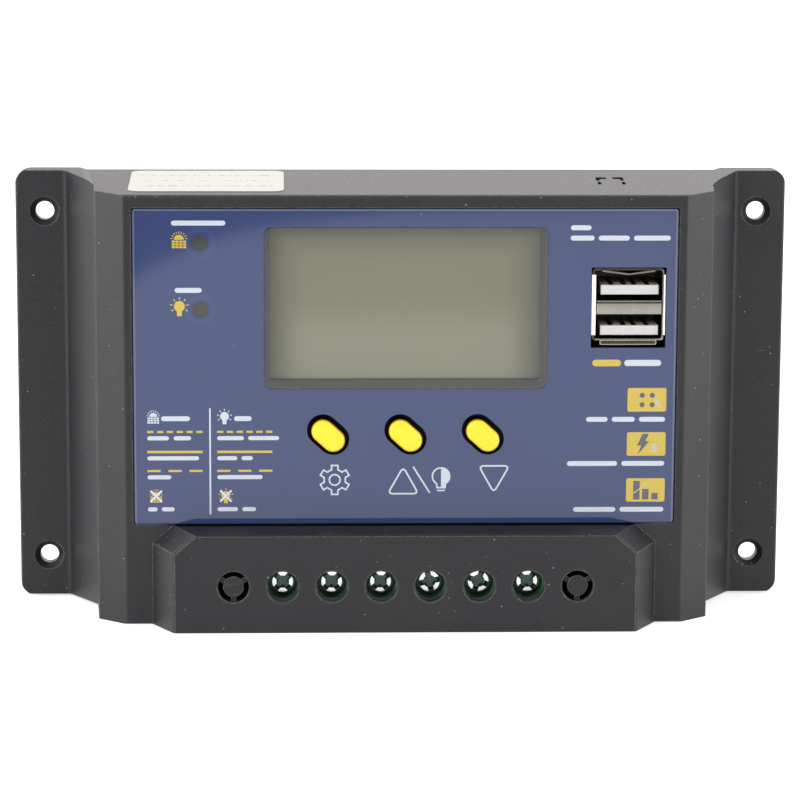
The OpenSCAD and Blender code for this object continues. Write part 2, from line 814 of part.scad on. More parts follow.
// ---- Boards --------------------------------------------------------------------------------

module display_board() {
    hole_d = 0.9;
    pitch = (glass_w - 8) / (display_pins - 1);
    color([0.05, 0.35, 0.2]) stand() difference() {
        block(display_left, display_bottom, display_z, display_right - display_left,
            display_top - display_bottom, board_t);
        at_display_posts() pin(0, 0, 0, screw_clear_d - 0.4, span);
        for (i = [0:display_pins - 1])
            pin(display_x - (glass_w - 8) / 2 + i * pitch, pin_y, 0, hole_d, span);
        at_header_pins() pin(0, 0, 0, hole_d, span);
        at_leds() for (x = [-1.27, 1.27]) pin(x, 0, 0, hole_d, span);
        for (i = [0:2]) at_button(i) rotate(button_slant)
            for (x = [-1, 1], y = [-2.25, 2.25]) pin(x * (switch_w / 2 + 0.25), y, 0, 1.1, span);
    }
}

module display_screws() {
    color("silver") stand() at_display_posts() translate([0, 0, display_z]) pan_screw(board_t + 3.5);
}

module main_board() {
    color([0.05, 0.35, 0.2]) stand() difference() {
        block(-board_half, board_bottom, main_z, 2 * board_half, board_top - board_bottom, board_t);
        at_main_posts() pin(0, 0, 0, screw_clear_d - 0.4, span);
        at_header_pins() pin(0, 0, 0, 0.9, span);
        at_poles() for (x = [-1.6, 1.6]) pin(x, bar_back() - pole_y + bar_t / 2, 0, 1.5, span);
        at_transistors() for (i = [-1:1]) pin(i * leg_pitch, -3.2, 0, 1.5, span);
    }
}

module board_screws() {
    color("silver") stand() at_main_posts() translate([0, 0, main_z]) pan_screw(board_t + 7);
}

module board_header() {
    color([0.1, 0.1, 0.1]) stand() difference() {
        translate([display_left + 7 + 3.5 * 2.54, transistor_y, main_top_z])
            linear_extrude(display_z - main_top_z) square([8 * 2.54, 2.5], center = true);
        at_header_pins() pin(0, 0, 0, 0.9, span);
    }
}

module header_pins() {
    color("gold") stand() at_header_pins()
        pad(0, 0, main_z - 1, 0.6, 0.6, display_top_z - main_z + 1.6);
}

// Square flat pack behind the display, with a dimple at its first pin
module microcontroller() {
    color([0.08, 0.08, 0.09]) stand() translate([display_x, display_y, display_z]) difference() {
        union() {
            pad(0, 0, -0.9, 10, 10, 0.8);
            pad(0, 0, -1.5, 9.6, 9.6, 0.6);
        }
        pin(-3.6, 3.6, -1.5 - over, 1, over + 0.2);
    }
}

// Small outline chips of the converter and the transistor drivers
module at_chips() {
    for (x = chip_x) translate([x, display_y - chip_drop, main_top_z]) children();
}
module converter_chips() {
    color([0.08, 0.08, 0.09]) stand() at_chips() difference() {
        pad(0, 0, 0.1, 4.9, 3.9, 1.4);
        pin(-1.8, -1.2, 1.3, 0.7, over);
    }
}
module gull_leg() {
    along_x(0.4) polygon([[0, 0], [0.7, 0], [0.7, 0.15], [0.15, 0.15], [0.15, 0.8], [-0.3, 0.8],
        [-0.3, 0.65], [0, 0.65]]);
}
module chip_leads() {
    color("silver") stand() {
        at_chips() for (side = [0, 180], i = [-1.5:1.5]) rotate(side)
            translate([i * 1.27, 1.95 + 0.3, 0]) gull_leg();
        translate([display_x, display_y, display_z]) rotate([180, 0, 0])
            for (side = [0:90:270], i = [-5:5]) rotate(side)
                translate([i * 0.8, 5.3, 0]) gull_leg();
    }
}

// ---- USB sockets ---------------------------------------------------------------------------

// Folded metal shell with a channel between its two sockets, a bent spring over the upper one,
// flanges that stand out at its sides and a lip turned down under the lower socket
module usb_shell() {
    h = usb_h;
    channel_h = usb_pitch - port_h;
    channel_y = -0.5;
    depth = usb_front_z - usb_back_z - usb_corner_drop;
    spring_y = h / 2 - usb_metal;
    spring = [[-5.3, spring_y + 0.1], [-5, spring_y - 0.25], [0, spring_y - 0.9], [5, spring_y - 0.25],
        [5.3, spring_y + 0.1], [4.9, spring_y + 0.1], [0, spring_y - 0.6], [-4.9, spring_y + 0.1]];
    color([0.8, 0.79, 0.76]) stand() translate([usb_x, usb_y, 0]) {
        translate([0, 0, usb_back_z]) linear_extrude(depth) difference() {
            rounded_square(usb_w, h, 0.8);
            rounded_square(usb_w - 2 * usb_metal, h - 2 * usb_metal, 0.5);
        }
        usb_flange(usb_flange_left, -1);
        usb_flange(usb_flange_right, 1);
        translate([0.1, channel_y, usb_front_z - 9]) {
            for (y = [-1, 1]) {
                pad(0, y * (channel_h / 2 - 0.15), 0, usb_w - 1.4, 0.3, 8.8);
                pad(0, y * (channel_h / 2 - 0.15), 0, usb_w - 0.4, 0.3, 3);
            }
            pad(0, -0.25, 8.6, usb_w - 1.4, channel_h - 0.5, 0.4);
        }
        translate([0, 0, usb_front_z - 6]) linear_extrude(5.9) polygon(spring);
        translate([0, -h / 2 - usb_lip / 2 + 0.15, usb_front_z]) difference() {
            translate([0, 0, -0.9]) linear_extrude(0.9) rounded_square(11, usb_lip + 0.3, 0.25);
            translate([0, 0, -0.2]) linear_extrude(over) rounded_square(10.6, usb_lip - 0.1, 0.2);
        }
    }
}

// Strip at one side of the sockets' shell that leans outwards and shows the width w in front
module usb_flange(w, side) {
    outer = usb_w / 2 + 0.15;
    middle = (usb_w - usb_metal) / 2;
    along_y(11.8) polygon([[side * (middle + 0.1), usb_front_z - 1.6], [side * outer, usb_front_z],
        [side * (outer - w), usb_front_z], [side * (middle - 0.1), usb_front_z - 1.6]]);
}

module at_ports() {
    for (y = [-1, 1]) translate([usb_x + 0.25, usb_y - 1.1 + y * usb_pitch / 2, 0]) children();
}

// White tongues with four grooves for the contacts, on one block at the back
module usb_tongues() {
    color([0.93, 0.93, 0.92]) stand() {
        at_ports() difference() {
            pad(0, 0, usb_back_z + 2, tongue_w, tongue_t, usb_front_z - usb_back_z - 2.8);
            for (x = [-3.5, -1, 1, 3.5])
                pad(x, tongue_t / 2, usb_back_z + 3, 1.1, 0.8, usb_front_z - usb_back_z - 4.2);
        }
        translate([usb_x, usb_y, usb_back_z]) linear_extrude(3)
            rounded_square(usb_w - 2 * usb_metal - 0.1, usb_h - 2 * usb_metal - 0.1, 0.6);
    }
}

module usb_contacts() {
    color("gold") stand() at_ports() for (x = [-3.5, -1, 1, 3.5])
        pad(x, tongue_t / 2 - 0.25, usb_back_z + 3, 0.8, 0.3, usb_front_z - usb_back_z - 4.4);
}

// ---- Terminals -----------------------------------------------------------------------------

function bar_back() = block_back_y + 0.3;

// Green block with a well, a screw shelf, a clamp pocket and a wire mouth for each pole
module terminal_block() {
    w = poles * pole_pitch + 1;
    pocket_l = clamp_l + 2 * pocket_gap;
    front = block_front_y - pole_y;
    color([0.1, 0.45, 0.25]) stand() difference() {
        block(-w / 2, block_front_y, block_z, w, block_back_y - block_front_y, block_top_z - block_z);
        at_poles() {
            pin(0, 0, seat_z, well_d, span);
            pin(0, 0, pocket_z, shank_d + 0.2, span);
            pad(0, 0, pocket_z, clamp_w + 2 * pocket_gap, pocket_l, pocket_top_z - pocket_z);
            block(-mouth_w / 2 - 0.3, front - over, mouth_z - 0.3, mouth_w + 0.6, over - front, mouth_h + 1.6);
            pad(0, (block_back_y - pole_y) / 2 + over, bar_z - gap, bar_w + 0.2,
                block_back_y - pole_y + 2 * over, bar_t + 2 * gap);
        }
        for (i = [1:poles - 1]) translate([(first_pole + i - 0.5) * pole_pitch, 0, 0]) {
            pad(0, block_front_y, block_z + 1, 0.6, 0.8, span);
            pad(0, pole_y, block_top_z, 0.6, span, 0.8);
        }
    }
}

// Fixed conductor of each pole: a bar through the clamp, bent down to two solder pins
module terminal_bars() {
    back = bar_back() - pole_y;
    color([0.8, 0.78, 0.7]) stand() at_poles() {
        block(-bar_w / 2, -clamp_l / 2, bar_z, bar_w, back + bar_t + clamp_l / 2, bar_t);
        block(-bar_w / 2, back, main_top_z + 0.3, bar_w, bar_t, bar_z - main_top_z - 0.3);
        for (x = [-1.6, 1.6]) pad(x, back + bar_t / 2, main_z - 1.2, 1, bar_t, main_top_z + 1.6 - main_z);
    }
}

module terminal_screw(i) {
    top_z = seat_z + 0.05 + head_t;
    bevel = 0.4;
    tip_z = bar_z + bar_t + 0.25;
    color([0.75, 0.76, 0.76]) stand() at_pole(i) difference() {
        rotate_extrude() polygon([[0, tip_z], [shank_d / 2 - 0.3, tip_z], [shank_d / 2, tip_z + 0.5],
            [shank_d / 2, seat_z + 0.05], [head_d / 2, seat_z + 0.05], [head_d / 2, top_z - bevel],
            [head_d / 2 - bevel, top_z], [0, top_z]]);
        translate([0, 0, top_z]) rotate(screw_angles[i]) screw_recess(head_d, 1.2);
    }
}
module terminal_screw_1() { terminal_screw(0); }
module terminal_screw_2() { terminal_screw(1); }
module terminal_screw_3() { terminal_screw(2); }
module terminal_screw_4() { terminal_screw(3); }
module terminal_screw_5() { terminal_screw(4); }
module terminal_screw_6() { terminal_screw(5); }

// Rising clamp: a box open along y, with a threaded roof and a ribbed floor
module wire_clamp(i) {
    outer_h = clamp_top_z - clamp_z;
    color([0.7, 0.7, 0.68]) stand() at_pole(i) difference() {
        pad(0, 0, clamp_z, clamp_w, clamp_l, outer_h);
        pad(0, 0, mouth_z, mouth_w, clamp_l + 2 * over, outer_h - clamp_floor - clamp_roof);
        pin(0, 0, mouth_z, shank_d + 2 * fit, span);
        for (y = [-2.4:1.2:2.4]) pad(0, y, mouth_z - 0.3, mouth_w, 0.4, 0.4);
    }
}
module wire_clamp_1() { wire_clamp(0); }
module wire_clamp_2() { wire_clamp(1); }
module wire_clamp_3() { wire_clamp(2); }
module wire_clamp_4() { wire_clamp(3); }
module wire_clamp_5() { wire_clamp(4); }
module wire_clamp_6() { wire_clamp(5); }

// ---- Power parts ---------------------------------------------------------------------------

module transistor_pads() {
    color([0.6, 0.62, 0.65]) stand() at_transistors() difference() {
        pad(0, tab_l / 2, plate_t, transistor_w + 2, tab_l + 2, pad_t);
        pin(0, tab_hole, 0, screw_clear_d, span);
    }
}

module transistor_bodies() {
    color([0.08, 0.08, 0.09]) stand() at_transistors()
        pad(0, transistor_l / 2, plate_t + pad_t + tab_t, transistor_w, transistor_l, transistor_t - tab_t);
}

// Metal tab under each body, and three legs bent up through the main board
module transistor_tabs() {
    z = plate_t + pad_t;
    color("silver") stand() at_transistors() {
        difference() {
            pad(0, tab_l / 2, z, transistor_w - 0.2, tab_l, tab_t);
            pin(0, tab_hole, 0, 3.6, span);
        }
        for (i = [-1:1]) translate([i * leg_pitch, 0, z + tab_t + 0.6]) {
            pad(0, -1.75, 0, 0.8, 3.5, 0.5);
            pad(0, -3.2, 0, 0.8, 0.5, main_top_z + 1 - z - tab_t - 0.6);
        }
    }
}

module transistor_fasteners() {
    z = plate_t + pad_t + tab_t;
    nut_h = 2;
    color("silver") stand() at_transistors() translate([0, tab_hole, 0]) {
        translate([0, 0, 0.1]) countersunk_screw(z + nut_h + 0.5);
        difference() {
            translate([0, 0, z]) cylinder(d = 6, h = nut_h, $fn = 6);
            pin(0, 0, 0, core_d + 0.1, span);
        }
    }
}

// Capacitor cans with a rolled groove near the foot and a scored vent on top
module capacitors() {
    r = capacitor_d / 2;
    color([0.1, 0.12, 0.2]) stand() for (i = [0, 1])
        translate([i * capacitor_pitch - capacitor_x, component_y, main_top_z]) difference() {
            rotate_extrude() polygon([[0, 0], [r - 0.3, 0], [r, 0.4], [r, 1.6], [r - 0.4, 2.1], [r, 2.6],
                [r, capacitor_h - 0.6], [r - 0.6, capacitor_h], [0, capacitor_h]]);
            for (a = [0, 90]) rotate(a) pad(0, 0, capacitor_h - 0.3, capacitor_d - 3, 0.3, over);
        }
}

// Drum core with its winding between two flanges
module inductor() {
    r = inductor_d / 2;
    h = inductor_h;
    color([0.25, 0.22, 0.2]) stand() translate([inductor_x, component_y, main_top_z])
        rotate_extrude() polygon([[0, 0], [r, 0], [r, 1], [r - 0.8, 1.4], [r - 0.8, h - 1.4],
            [r, h - 1], [r, h], [0, h]]);
}

// Two current shunts bent from flat strip
module current_shunts() {
    half = [[shunt_w / 2 - 1, 0], [shunt_w / 2, 0], [shunt_w / 2, shunt_h]];
    inner = [[1 - shunt_w / 2, 0], [1 - shunt_w / 2, shunt_h - 1], [shunt_w / 2 - 1, shunt_h - 1]];
    color([0.72, 0.6, 0.45]) stand() for (x = shunt_x)
        translate([x, component_y, main_top_z]) along_y(3)
            polygon(concat(half, [[-shunt_w / 2, shunt_h], [-shunt_w / 2, 0]], inner));
}

// ---- Sticker -------------------------------------------------------------------------------

module rating_sticker() {
    color("white") stand() on_top_wall() translate([-sticker_x, sticker_h / 2 + 2.4, 0.01])
        linear_extrude(0.12) rounded_square(sticker_w, sticker_h, 2);
}

front_shell();
rear_plate();
rear_screws();
front_film();
display_window();
indicator_windows();
display_glass();
display_frame();
backlight();
display_pin_row();
button_left();
button_middle();
button_right();
plunger_left();
plunger_middle();
plunger_right();
switch_bodies();
switch_covers();
led_upper();
led_lower();
led_legs();
display_board();
display_screws();
microcontroller();
chip_leads();
board_header();
header_pins();
main_board();
board_screws();
usb_shell();
usb_tongues();
usb_contacts();
terminal_block();
terminal_bars();
terminal_screw_1();
terminal_screw_2();
terminal_screw_3();
terminal_screw_4();
terminal_screw_5();
terminal_screw_6();
wire_clamp_1();
wire_clamp_2();
wire_clamp_3();
wire_clamp_4();
wire_clamp_5();
wire_clamp_6();
transistor_bodies();
transistor_tabs();
transistor_pads();
transistor_fasteners();
capacitors();
inductor();
current_shunts();
converter_chips();
rating_sticker();
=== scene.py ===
"""Looks of the charge controller: finishes, printed marks, floor, light and camera."""

import json
import math

import bmesh
import bpy
from mathutils import Matrix, Vector

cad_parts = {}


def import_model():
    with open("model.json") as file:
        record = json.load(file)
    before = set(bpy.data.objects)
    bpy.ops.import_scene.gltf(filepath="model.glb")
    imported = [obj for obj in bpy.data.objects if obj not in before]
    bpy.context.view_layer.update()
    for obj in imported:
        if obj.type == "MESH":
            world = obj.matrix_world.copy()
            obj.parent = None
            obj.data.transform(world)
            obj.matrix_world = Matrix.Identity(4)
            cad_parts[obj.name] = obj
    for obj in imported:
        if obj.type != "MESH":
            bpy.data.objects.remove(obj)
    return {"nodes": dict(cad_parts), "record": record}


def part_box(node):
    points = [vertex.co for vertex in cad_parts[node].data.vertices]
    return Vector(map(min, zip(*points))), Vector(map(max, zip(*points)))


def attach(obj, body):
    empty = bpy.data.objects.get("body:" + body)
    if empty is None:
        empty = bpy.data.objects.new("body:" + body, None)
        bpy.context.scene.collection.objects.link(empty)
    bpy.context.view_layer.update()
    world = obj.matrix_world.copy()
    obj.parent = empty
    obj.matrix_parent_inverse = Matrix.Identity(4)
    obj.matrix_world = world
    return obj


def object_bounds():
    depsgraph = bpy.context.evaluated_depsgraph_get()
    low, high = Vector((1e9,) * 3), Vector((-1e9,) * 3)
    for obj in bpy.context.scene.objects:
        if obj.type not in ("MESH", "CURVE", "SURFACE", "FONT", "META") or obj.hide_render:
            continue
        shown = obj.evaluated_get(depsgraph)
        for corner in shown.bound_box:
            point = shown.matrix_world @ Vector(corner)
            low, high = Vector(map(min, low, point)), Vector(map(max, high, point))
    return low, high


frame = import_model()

MM = 0.001
cad_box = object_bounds()


# ---- Small helpers ---------------------------------------------------------------------------

def srgb(r, g, b):
    """A display colour, 0 to 255, as the linear colour that a shader takes."""
    def linear(v):
        v /= 255
        return v / 12.92 if v <= 0.04045 else ((v + 0.055) / 1.055) ** 2.4
    return (linear(r), linear(g), linear(b), 1)


def middle(node):
    """Centre of a CAD node's box, in metres."""
    low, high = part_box(node)
    return (Vector(low) + Vector(high)) / 2


class Nodes:
    """A node tree under construction."""

    def __init__(self, tree):
        self.tree = tree
        self.tree.nodes.clear()

    def node(self, kind, inputs=None, **settings):
        made = self.tree.nodes.new(kind)
        for key, value in settings.items():
            setattr(made, key, value)
        for key, value in (inputs or {}).items():
            self.put(made.inputs[key], value)
        return made

    def put(self, socket, value):
        if isinstance(value, bpy.types.NodeSocket):
            self.tree.links.new(value, socket)
        else:
            socket.default_value = value

    def math(self, operation, a, b=0.0, c=0.0):
        return self.node("ShaderNodeMath", {0: a, 1: b, 2: c}, operation=operation).outputs[0]

    def spread(self, value, low, high):
        """A pattern from 0 to 1 taken to low to high."""
        return self.node("ShaderNodeMapRange", {"Value": value, "To Min": low, "To Max": high}).outputs[0]


class Look(Nodes):
    """A material, with short calls for the patterns that the finishes share."""

    def __init__(self, name):
        self.material = bpy.data.materials.new(name)
        self.material.use_nodes = True
        super().__init__(self.material.node_tree)
        self.output = self.node("ShaderNodeOutputMaterial")
        self.place = self.node("ShaderNodeTexCoord").outputs["Object"]

    def geometry(self, output):
        return self.node("ShaderNodeNewGeometry").outputs[output]

    def axes(self, vector=None):
        """The x, y and z of a vector, or of the place in metres."""
        parts = self.node("ShaderNodeSeparateXYZ", {0: self.place if vector is None else vector})
        return parts.outputs[0], parts.outputs[1], parts.outputs[2]

    def facing(self):
        """The x, y and z of the direction that the surface faces."""
        return self.axes(self.geometry("Normal"))

    def noise(self, size, detail=2.0, stretch=(1, 1, 1), rough=0.5):
        """Cloudy noise from 0 to 1, whose features are about size metres across."""
        place = self.node("ShaderNodeMapping", {"Vector": self.place, "Scale": stretch})
        return self.node("ShaderNodeTexNoise", {
            "Vector": place.outputs[0], "Scale": 1 / size,
            "Detail": detail, "Roughness": rough}).outputs["Fac"]

    def spots(self, size, share):
        """1 in round spots scattered about size metres apart. Their radius is a share of that."""
        cells = self.node("ShaderNodeTexVoronoi", {"Vector": self.place, "Scale": 1 / size})
        return self.band(cells.outputs["Distance"], share, share * 0.5)

    def band(self, value, start, end):
        """value taken from 0 at start to 1 at end, smoothly."""
        smooth = self.node("ShaderNodeMapRange", {
            "Value": value, "From Min": start, "From Max": end}, interpolation_type="SMOOTHSTEP")
        return smooth.outputs[0]

    def distance(self, value, centre):
        """How far value is from centre, on either side."""
        return self.math("ABSOLUTE", self.math("SUBTRACT", value, centre))

    def inverse(self, share):
        return self.math("SUBTRACT", 1, share)

    def mix(self, share, a, b):
        """Colour a where share is 0 and b where it is 1."""
        return self.node("ShaderNodeMix", {0: share, 6: a, 7: b}, data_type="RGBA").outputs[2]

    def rounded(self, radius, samples=4):
        """The surface's normal, with its sharp edges rounded."""
        return self.node("ShaderNodeBevel", {"Radius": radius}, samples=samples).outputs[0]

    def edges(self, radius):
        """1 along sharp edges and 0 on flats, by how far rounding turns the normal."""
        flat, sharp = 0.995, 0.9
        turn = self.node("ShaderNodeVectorMath", {
            0: self.rounded(radius), 1: self.geometry("Normal")}, operation="DOT_PRODUCT")
        return self.band(turn.outputs["Value"], flat, sharp)

    def openness(self, reach):
        """1 on open surfaces and 0 down in crevices narrower than reach."""
        shade = self.node("ShaderNodeAmbientOcclusion", {"Distance": reach}, samples=8, only_local=True)
        return shade.outputs["AO"]

    def bump(self, height, depth, normal=None):
        """A normal from a height pattern from 0 to 1, depth metres deep."""
        inputs = {"Height": height, "Strength": 1.0, "Distance": depth}
        if normal is not None:
            inputs["Normal"] = normal
        return self.node("ShaderNodeBump", inputs).outputs[0]

    def surface(self, **inputs):
        """Principled shader, with sockets named by their labels' words joined by _."""
        named = {key.replace("_", " "): value for key, value in inputs.items()}
        return self.node("ShaderNodeBsdfPrincipled", named).outputs[0]

    def show(self, shader):
        self.put(self.output.inputs["Surface"], shader)
        return self.material


# ---- Finishes --------------------------------------------------------------------------------

OVERLAY_IOR = 1.6


def shaded(colour, factor, lift=0.0):
    """A linear colour made darker or lighter, kept within white."""
    return tuple(min(1, c * factor + lift) for c in colour[:3]) + (1,)


def plastic(name, colour, rough, grain=0.25 * MM, vary=0.12, wear=0.25):
    """Moulded plastic: cloudy colour, spark-eroded grain and paler worn edges."""
    look = Look(name)
    rounding = 0.15 * MM
    base = look.mix(look.noise(6 * MM, 4), shaded(colour, 1 - vary), shaded(colour, 1 + vary))
    scuff = look.math("MULTIPLY", look.edges(rounding), look.spread(look.noise(1.5 * MM), 0, 2 * wear))
    base = look.mix(scuff, base, shaded(colour, 1.5, 0.03))
    return look.show(look.surface(
        Base_Color=base, Roughness=look.spread(look.noise(0.8 * MM, 3), rough - 0.07, rough + 0.07),
        Normal=look.bump(look.noise(grain, 2), 4e-6, look.rounded(rounding))))


def metal(name, colour, rough, stretch=(1, 1, 8)):
    """Bare or plated metal: fine drawn lines, cloudy tarnish and rounded edges."""
    look = Look(name)
    base = look.mix(look.spread(look.noise(2 * MM, 4), 0, 0.3), colour, shaded(colour, 0.55))
    lines = look.noise(0.3 * MM, 2, stretch)
    return look.show(look.surface(
        Base_Color=base, Metallic=1.0, Roughness=look.spread(lines, rough - 0.08, rough + 0.1),
        Normal=look.bump(lines, 3e-6, look.rounded(0.1 * MM))))


def window_slopes(look, x, y, z):
    """1 on the display opening's sloped walls, which lie behind the window and within its outline."""
    low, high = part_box("display_window")
    centre = middle("display_window")
    beyond = look.math("MAXIMUM", *(
        look.math("SUBTRACT", look.distance(at, centre[k]), (high[k] - low[k]) / 2)
        for at, k in ((x, 0), (z, 2))))
    behind = look.band(y, high[1], high[1] + 0.02 * MM)
    return look.math("MULTIPLY", look.band(beyond, 0, -0.05 * MM), behind)


def film_seam_shadow(look, x, z):
    """1 in the seam where the film's lower edge meets the terminal housing, which is painted near black: a
    painted shadow.
    """
    seam_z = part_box("front_film")[0][2] - 0.05 * MM
    half_length, fade = 44 * MM, 5 * MM
    near = look.band(look.distance(z, seam_z), 0.17 * MM, 0.09 * MM)
    return look.math("MULTIPLY", near,
                     look.band(look.math("ABSOLUTE", x), half_length + fade, half_length))


def shell_black():
    """Matt charcoal plastic with fine grain, handling marks, dust and light scratches, pale edges that are
    partly wear and partly painted highlight, painted light on the display opening's walls, a painted
    shadow along the film's lower seam and painted shade in crevices.
    """
    look = Look("shell_black")
    x, y, z = look.axes()
    facing_up = look.facing()[2]
    base = look.mix(look.noise(9 * MM, 5, rough=0.6), srgb(20, 20, 23), srgb(31, 31, 34))
    handled = look.band(look.noise(22 * MM, 4, (1, 1, 0.7), rough=0.6), 0.48, 0.66)
    base = look.mix(look.math("MULTIPLY", handled, 0.45), base, srgb(42, 41, 39))
    grain = look.noise(0.4 * MM, 4, rough=0.65)
    base = look.mix(look.math("MULTIPLY", look.band(grain, 0.36, 0.64), 0.7), base, srgb(40, 40, 44))
    # Paler edges: partly wear, partly painted highlight along the edges.
    worn_and_highlit = look.math("MULTIPLY", look.edges(0.2 * MM), look.spread(look.noise(0.9 * MM, 3), -0.7, 2.1))
    base = look.mix(worn_and_highlit, base, srgb(136, 136, 134))
    scratch = look.band(look.noise(0.32 * MM, 2, (0.05, 1, 1)), 0.74, 0.79)
    scratch = look.math("MULTIPLY", scratch, look.spread(look.noise(3 * MM), 0, 0.9))
    settled = look.math("MULTIPLY", look.spots(1.5 * MM, 0.12), look.band(facing_up, 0.25, 0.6))
    dust = look.math("MAXIMUM", look.math("MAXIMUM", scratch, settled), look.spots(2.4 * MM, 0.075))
    dust = look.math("MULTIPLY", dust, look.band(look.noise(7 * MM), 0.42, 0.55))
    base = look.mix(dust, base, srgb(146, 146, 144))
    # The display opening's sloped walls are painted lighter: painted light.
    base = look.mix(window_slopes(look, x, y, z), base, srgb(62, 62, 60))
    # Painted shadow along the film's lower edge: near black and without gloss.
    seam_shadow = film_seam_shadow(look, x, z)
    base = look.mix(seam_shadow, base, srgb(10, 10, 12))
    rough = look.spread(look.noise(0.5 * MM, 3), 0.4, 0.52)
    # Gloss is cut down in crevices by ambient occlusion: painted shade in the recesses.
    gloss = look.spread(look.band(look.openness(1.5 * MM), 0.25, 0.85), 0.06, 0.37)
    gloss = look.math("MULTIPLY", gloss, look.inverse(seam_shadow))
    return look.show(look.surface(
        Base_Color=base, Roughness=rough, Specular_IOR_Level=gloss,
        Normal=look.bump(grain, 1.4e-5, look.rounded(0.2 * MM, 6))))


def overlay_waves(look):
    """The overlay's slow waves, which bend what it mirrors."""
    return look.bump(look.noise(25 * MM, 1), 2e-5)


def film_blue():
    """Glossy printed overlay: even blue, with a painted highlight on its cut edge and on the faint
    embossed rings round the indicators.
    """
    look = Look("film_blue")
    x, _, z = look.axes()
    low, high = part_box("front_film")
    base = look.mix(look.noise(30 * MM, 3), srgb(46, 61, 108), srgb(50, 65, 112))
    from_side = look.math("SUBTRACT", (high[0] - low[0]) / 2, look.distance(x, middle("front_film").x))
    from_top = look.math("SUBTRACT", high[2], z)
    # A paler band along the sides and top: painted highlight on the cut edge.
    rim_highlight = look.band(look.math("MINIMUM", from_side, from_top), 0.45 * MM, 0.25 * MM)
    base = look.mix(look.math("MULTIPLY", rim_highlight, 0.6), base, srgb(120, 132, 168))
    ring_radius, ring_half_width = 2.6 * MM, 0.45 * MM
    for led in ("led_upper", "led_lower"):
        at = middle(led)
        away = look.node("ShaderNodeVectorMath", {
            0: look.place, 1: (at.x, low[1], at.z)}, operation="DISTANCE").outputs["Value"]
        ring = look.math("COMPARE", away, ring_radius, ring_half_width)
        # Each ring is painted a little paler: painted highlight for the emboss.
        base = look.mix(look.math("MULTIPLY", ring, 0.05), base, srgb(120, 130, 165))
    base = look.mix(look.spots(7 * MM, 0.02), base, srgb(150, 155, 175))
    return look.show(look.surface(
        Base_Color=base, Roughness=look.spread(look.noise(12 * MM, 3), 0.03, 0.07),
        IOR=OVERLAY_IOR, Normal=overlay_waves(look)))


def ink(name, colour):
    """Screen-print seen through the film's gloss."""
    look = Look(name)
    base = look.mix(look.noise(0.5 * MM, 2), shaded(colour, 0.9), colour)
    return look.show(look.surface(
        Base_Color=base, Roughness=0.05, IOR=OVERLAY_IOR, Normal=overlay_waves(look)))


def clear_window():
    """Clear gloss of the overlay over the display: it passes light straight and mirrors a little."""
    look = Look("clear_window")
    normal = overlay_waves(look)
    mirror = look.node("ShaderNodeBsdfGlossy", {
        "Color": (1, 1, 1, 1), "Roughness": 0.06, "Normal": normal}).outputs[0]
    clear = look.node("ShaderNodeBsdfTransparent", {
        "Color": look.mix(look.noise(20 * MM), (0.97, 0.98, 0.97, 1), (0.99, 0.99, 0.98, 1))}).outputs[0]
    gloss = look.node("ShaderNodeFresnel", {"IOR": OVERLAY_IOR, "Normal": normal}).outputs[0]
    # Its back face would mirror everything at a slant, so only the front has gloss
    gloss = look.math("MULTIPLY", gloss, look.inverse(look.geometry("Backfacing")))
    return look.show(look.node("ShaderNodeMixShader", {0: gloss, 1: clear, 2: mirror}).outputs[0])


def smoke_window():
    """Smoked gloss over an indicator: nearly black, with a trace of what is behind."""
    look = Look("smoke_window")
    base = look.mix(look.noise(1.5 * MM), srgb(60, 61, 57), srgb(71, 72, 68))
    body = look.surface(Base_Color=base, Roughness=0.06, IOR=OVERLAY_IOR)
    clear = look.node("ShaderNodeBsdfTransparent", {"Color": (0.7, 0.7, 0.68, 1)}).outputs[0]
    return look.show(look.node("ShaderNodeMixShader", {0: 0.15, 1: body, 2: clear}).outputs[0])


def display_glass():
    """Liquid crystal display at rest: olive grey polariser, painted lighter towards the bottom and darker
    along its top and sides, as painted light and shade.
    """
    look = Look("display_glass")
    x, _, z = look.axes()
    low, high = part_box("display_window")
    down = look.math("DIVIDE", look.math("SUBTRACT", high[2], z), high[2] - low[2])
    out = look.math("DIVIDE", look.distance(x, middle("display_window").x), (high[0] - low[0]) / 2)
    # Painted light: lighter towards the bottom.
    base = look.mix(look.band(down, 0.4, 0.72), srgb(114, 112, 87), srgb(132, 131, 110))
    # Painted shade along the top and sides.
    shade = look.math("MAXIMUM", look.band(down, 0.24, 0.0), look.band(out, 0.68, 0.96))
    base = look.mix(look.math("MULTIPLY", shade, 0.9), base, srgb(80, 79, 64))
    base = look.mix(look.spots(5 * MM, 0.016), base, srgb(176, 178, 164))
    return look.show(look.surface(
        Base_Color=base, Roughness=look.spread(look.noise(6 * MM, 3), 0.45, 0.55),
        Normal=look.bump(look.noise(12 * MM, 2), 1e-5)))


def button_yellow():
    """Glossy saturated plastic, with painted shade: orange on its steep sides and dark down in the hole.
    """
    look = Look("button_yellow")
    y = look.axes()[1]
    film_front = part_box("front_film")[0][1]
    side = look.band(look.facing()[1], -0.93, -0.35)
    base = look.mix(look.noise(1.2 * MM, 3), srgb(255, 236, 44), srgb(255, 242, 66))
    # Orange on the steep sides: painted shade.
    base = look.mix(look.math("MULTIPLY", side, 0.75), base, srgb(246, 160, 10))
    base = look.mix(look.spots(1.6 * MM, 0.03), base, srgb(236, 205, 60))
    # Near black and less glossy down in the hole: painted shade.
    deep_shade = look.band(y, film_front, film_front + 0.5 * MM)
    base = look.mix(deep_shade, base, srgb(12, 10, 6))
    return look.show(look.surface(
        Base_Color=base, Roughness=look.spread(look.noise(0.8 * MM, 3), 0.25, 0.4),
        Specular_IOR_Level=look.spread(deep_shade, 0.5, 0.08),
        Normal=look.bump(look.noise(0.3 * MM, 2), 3e-6)))


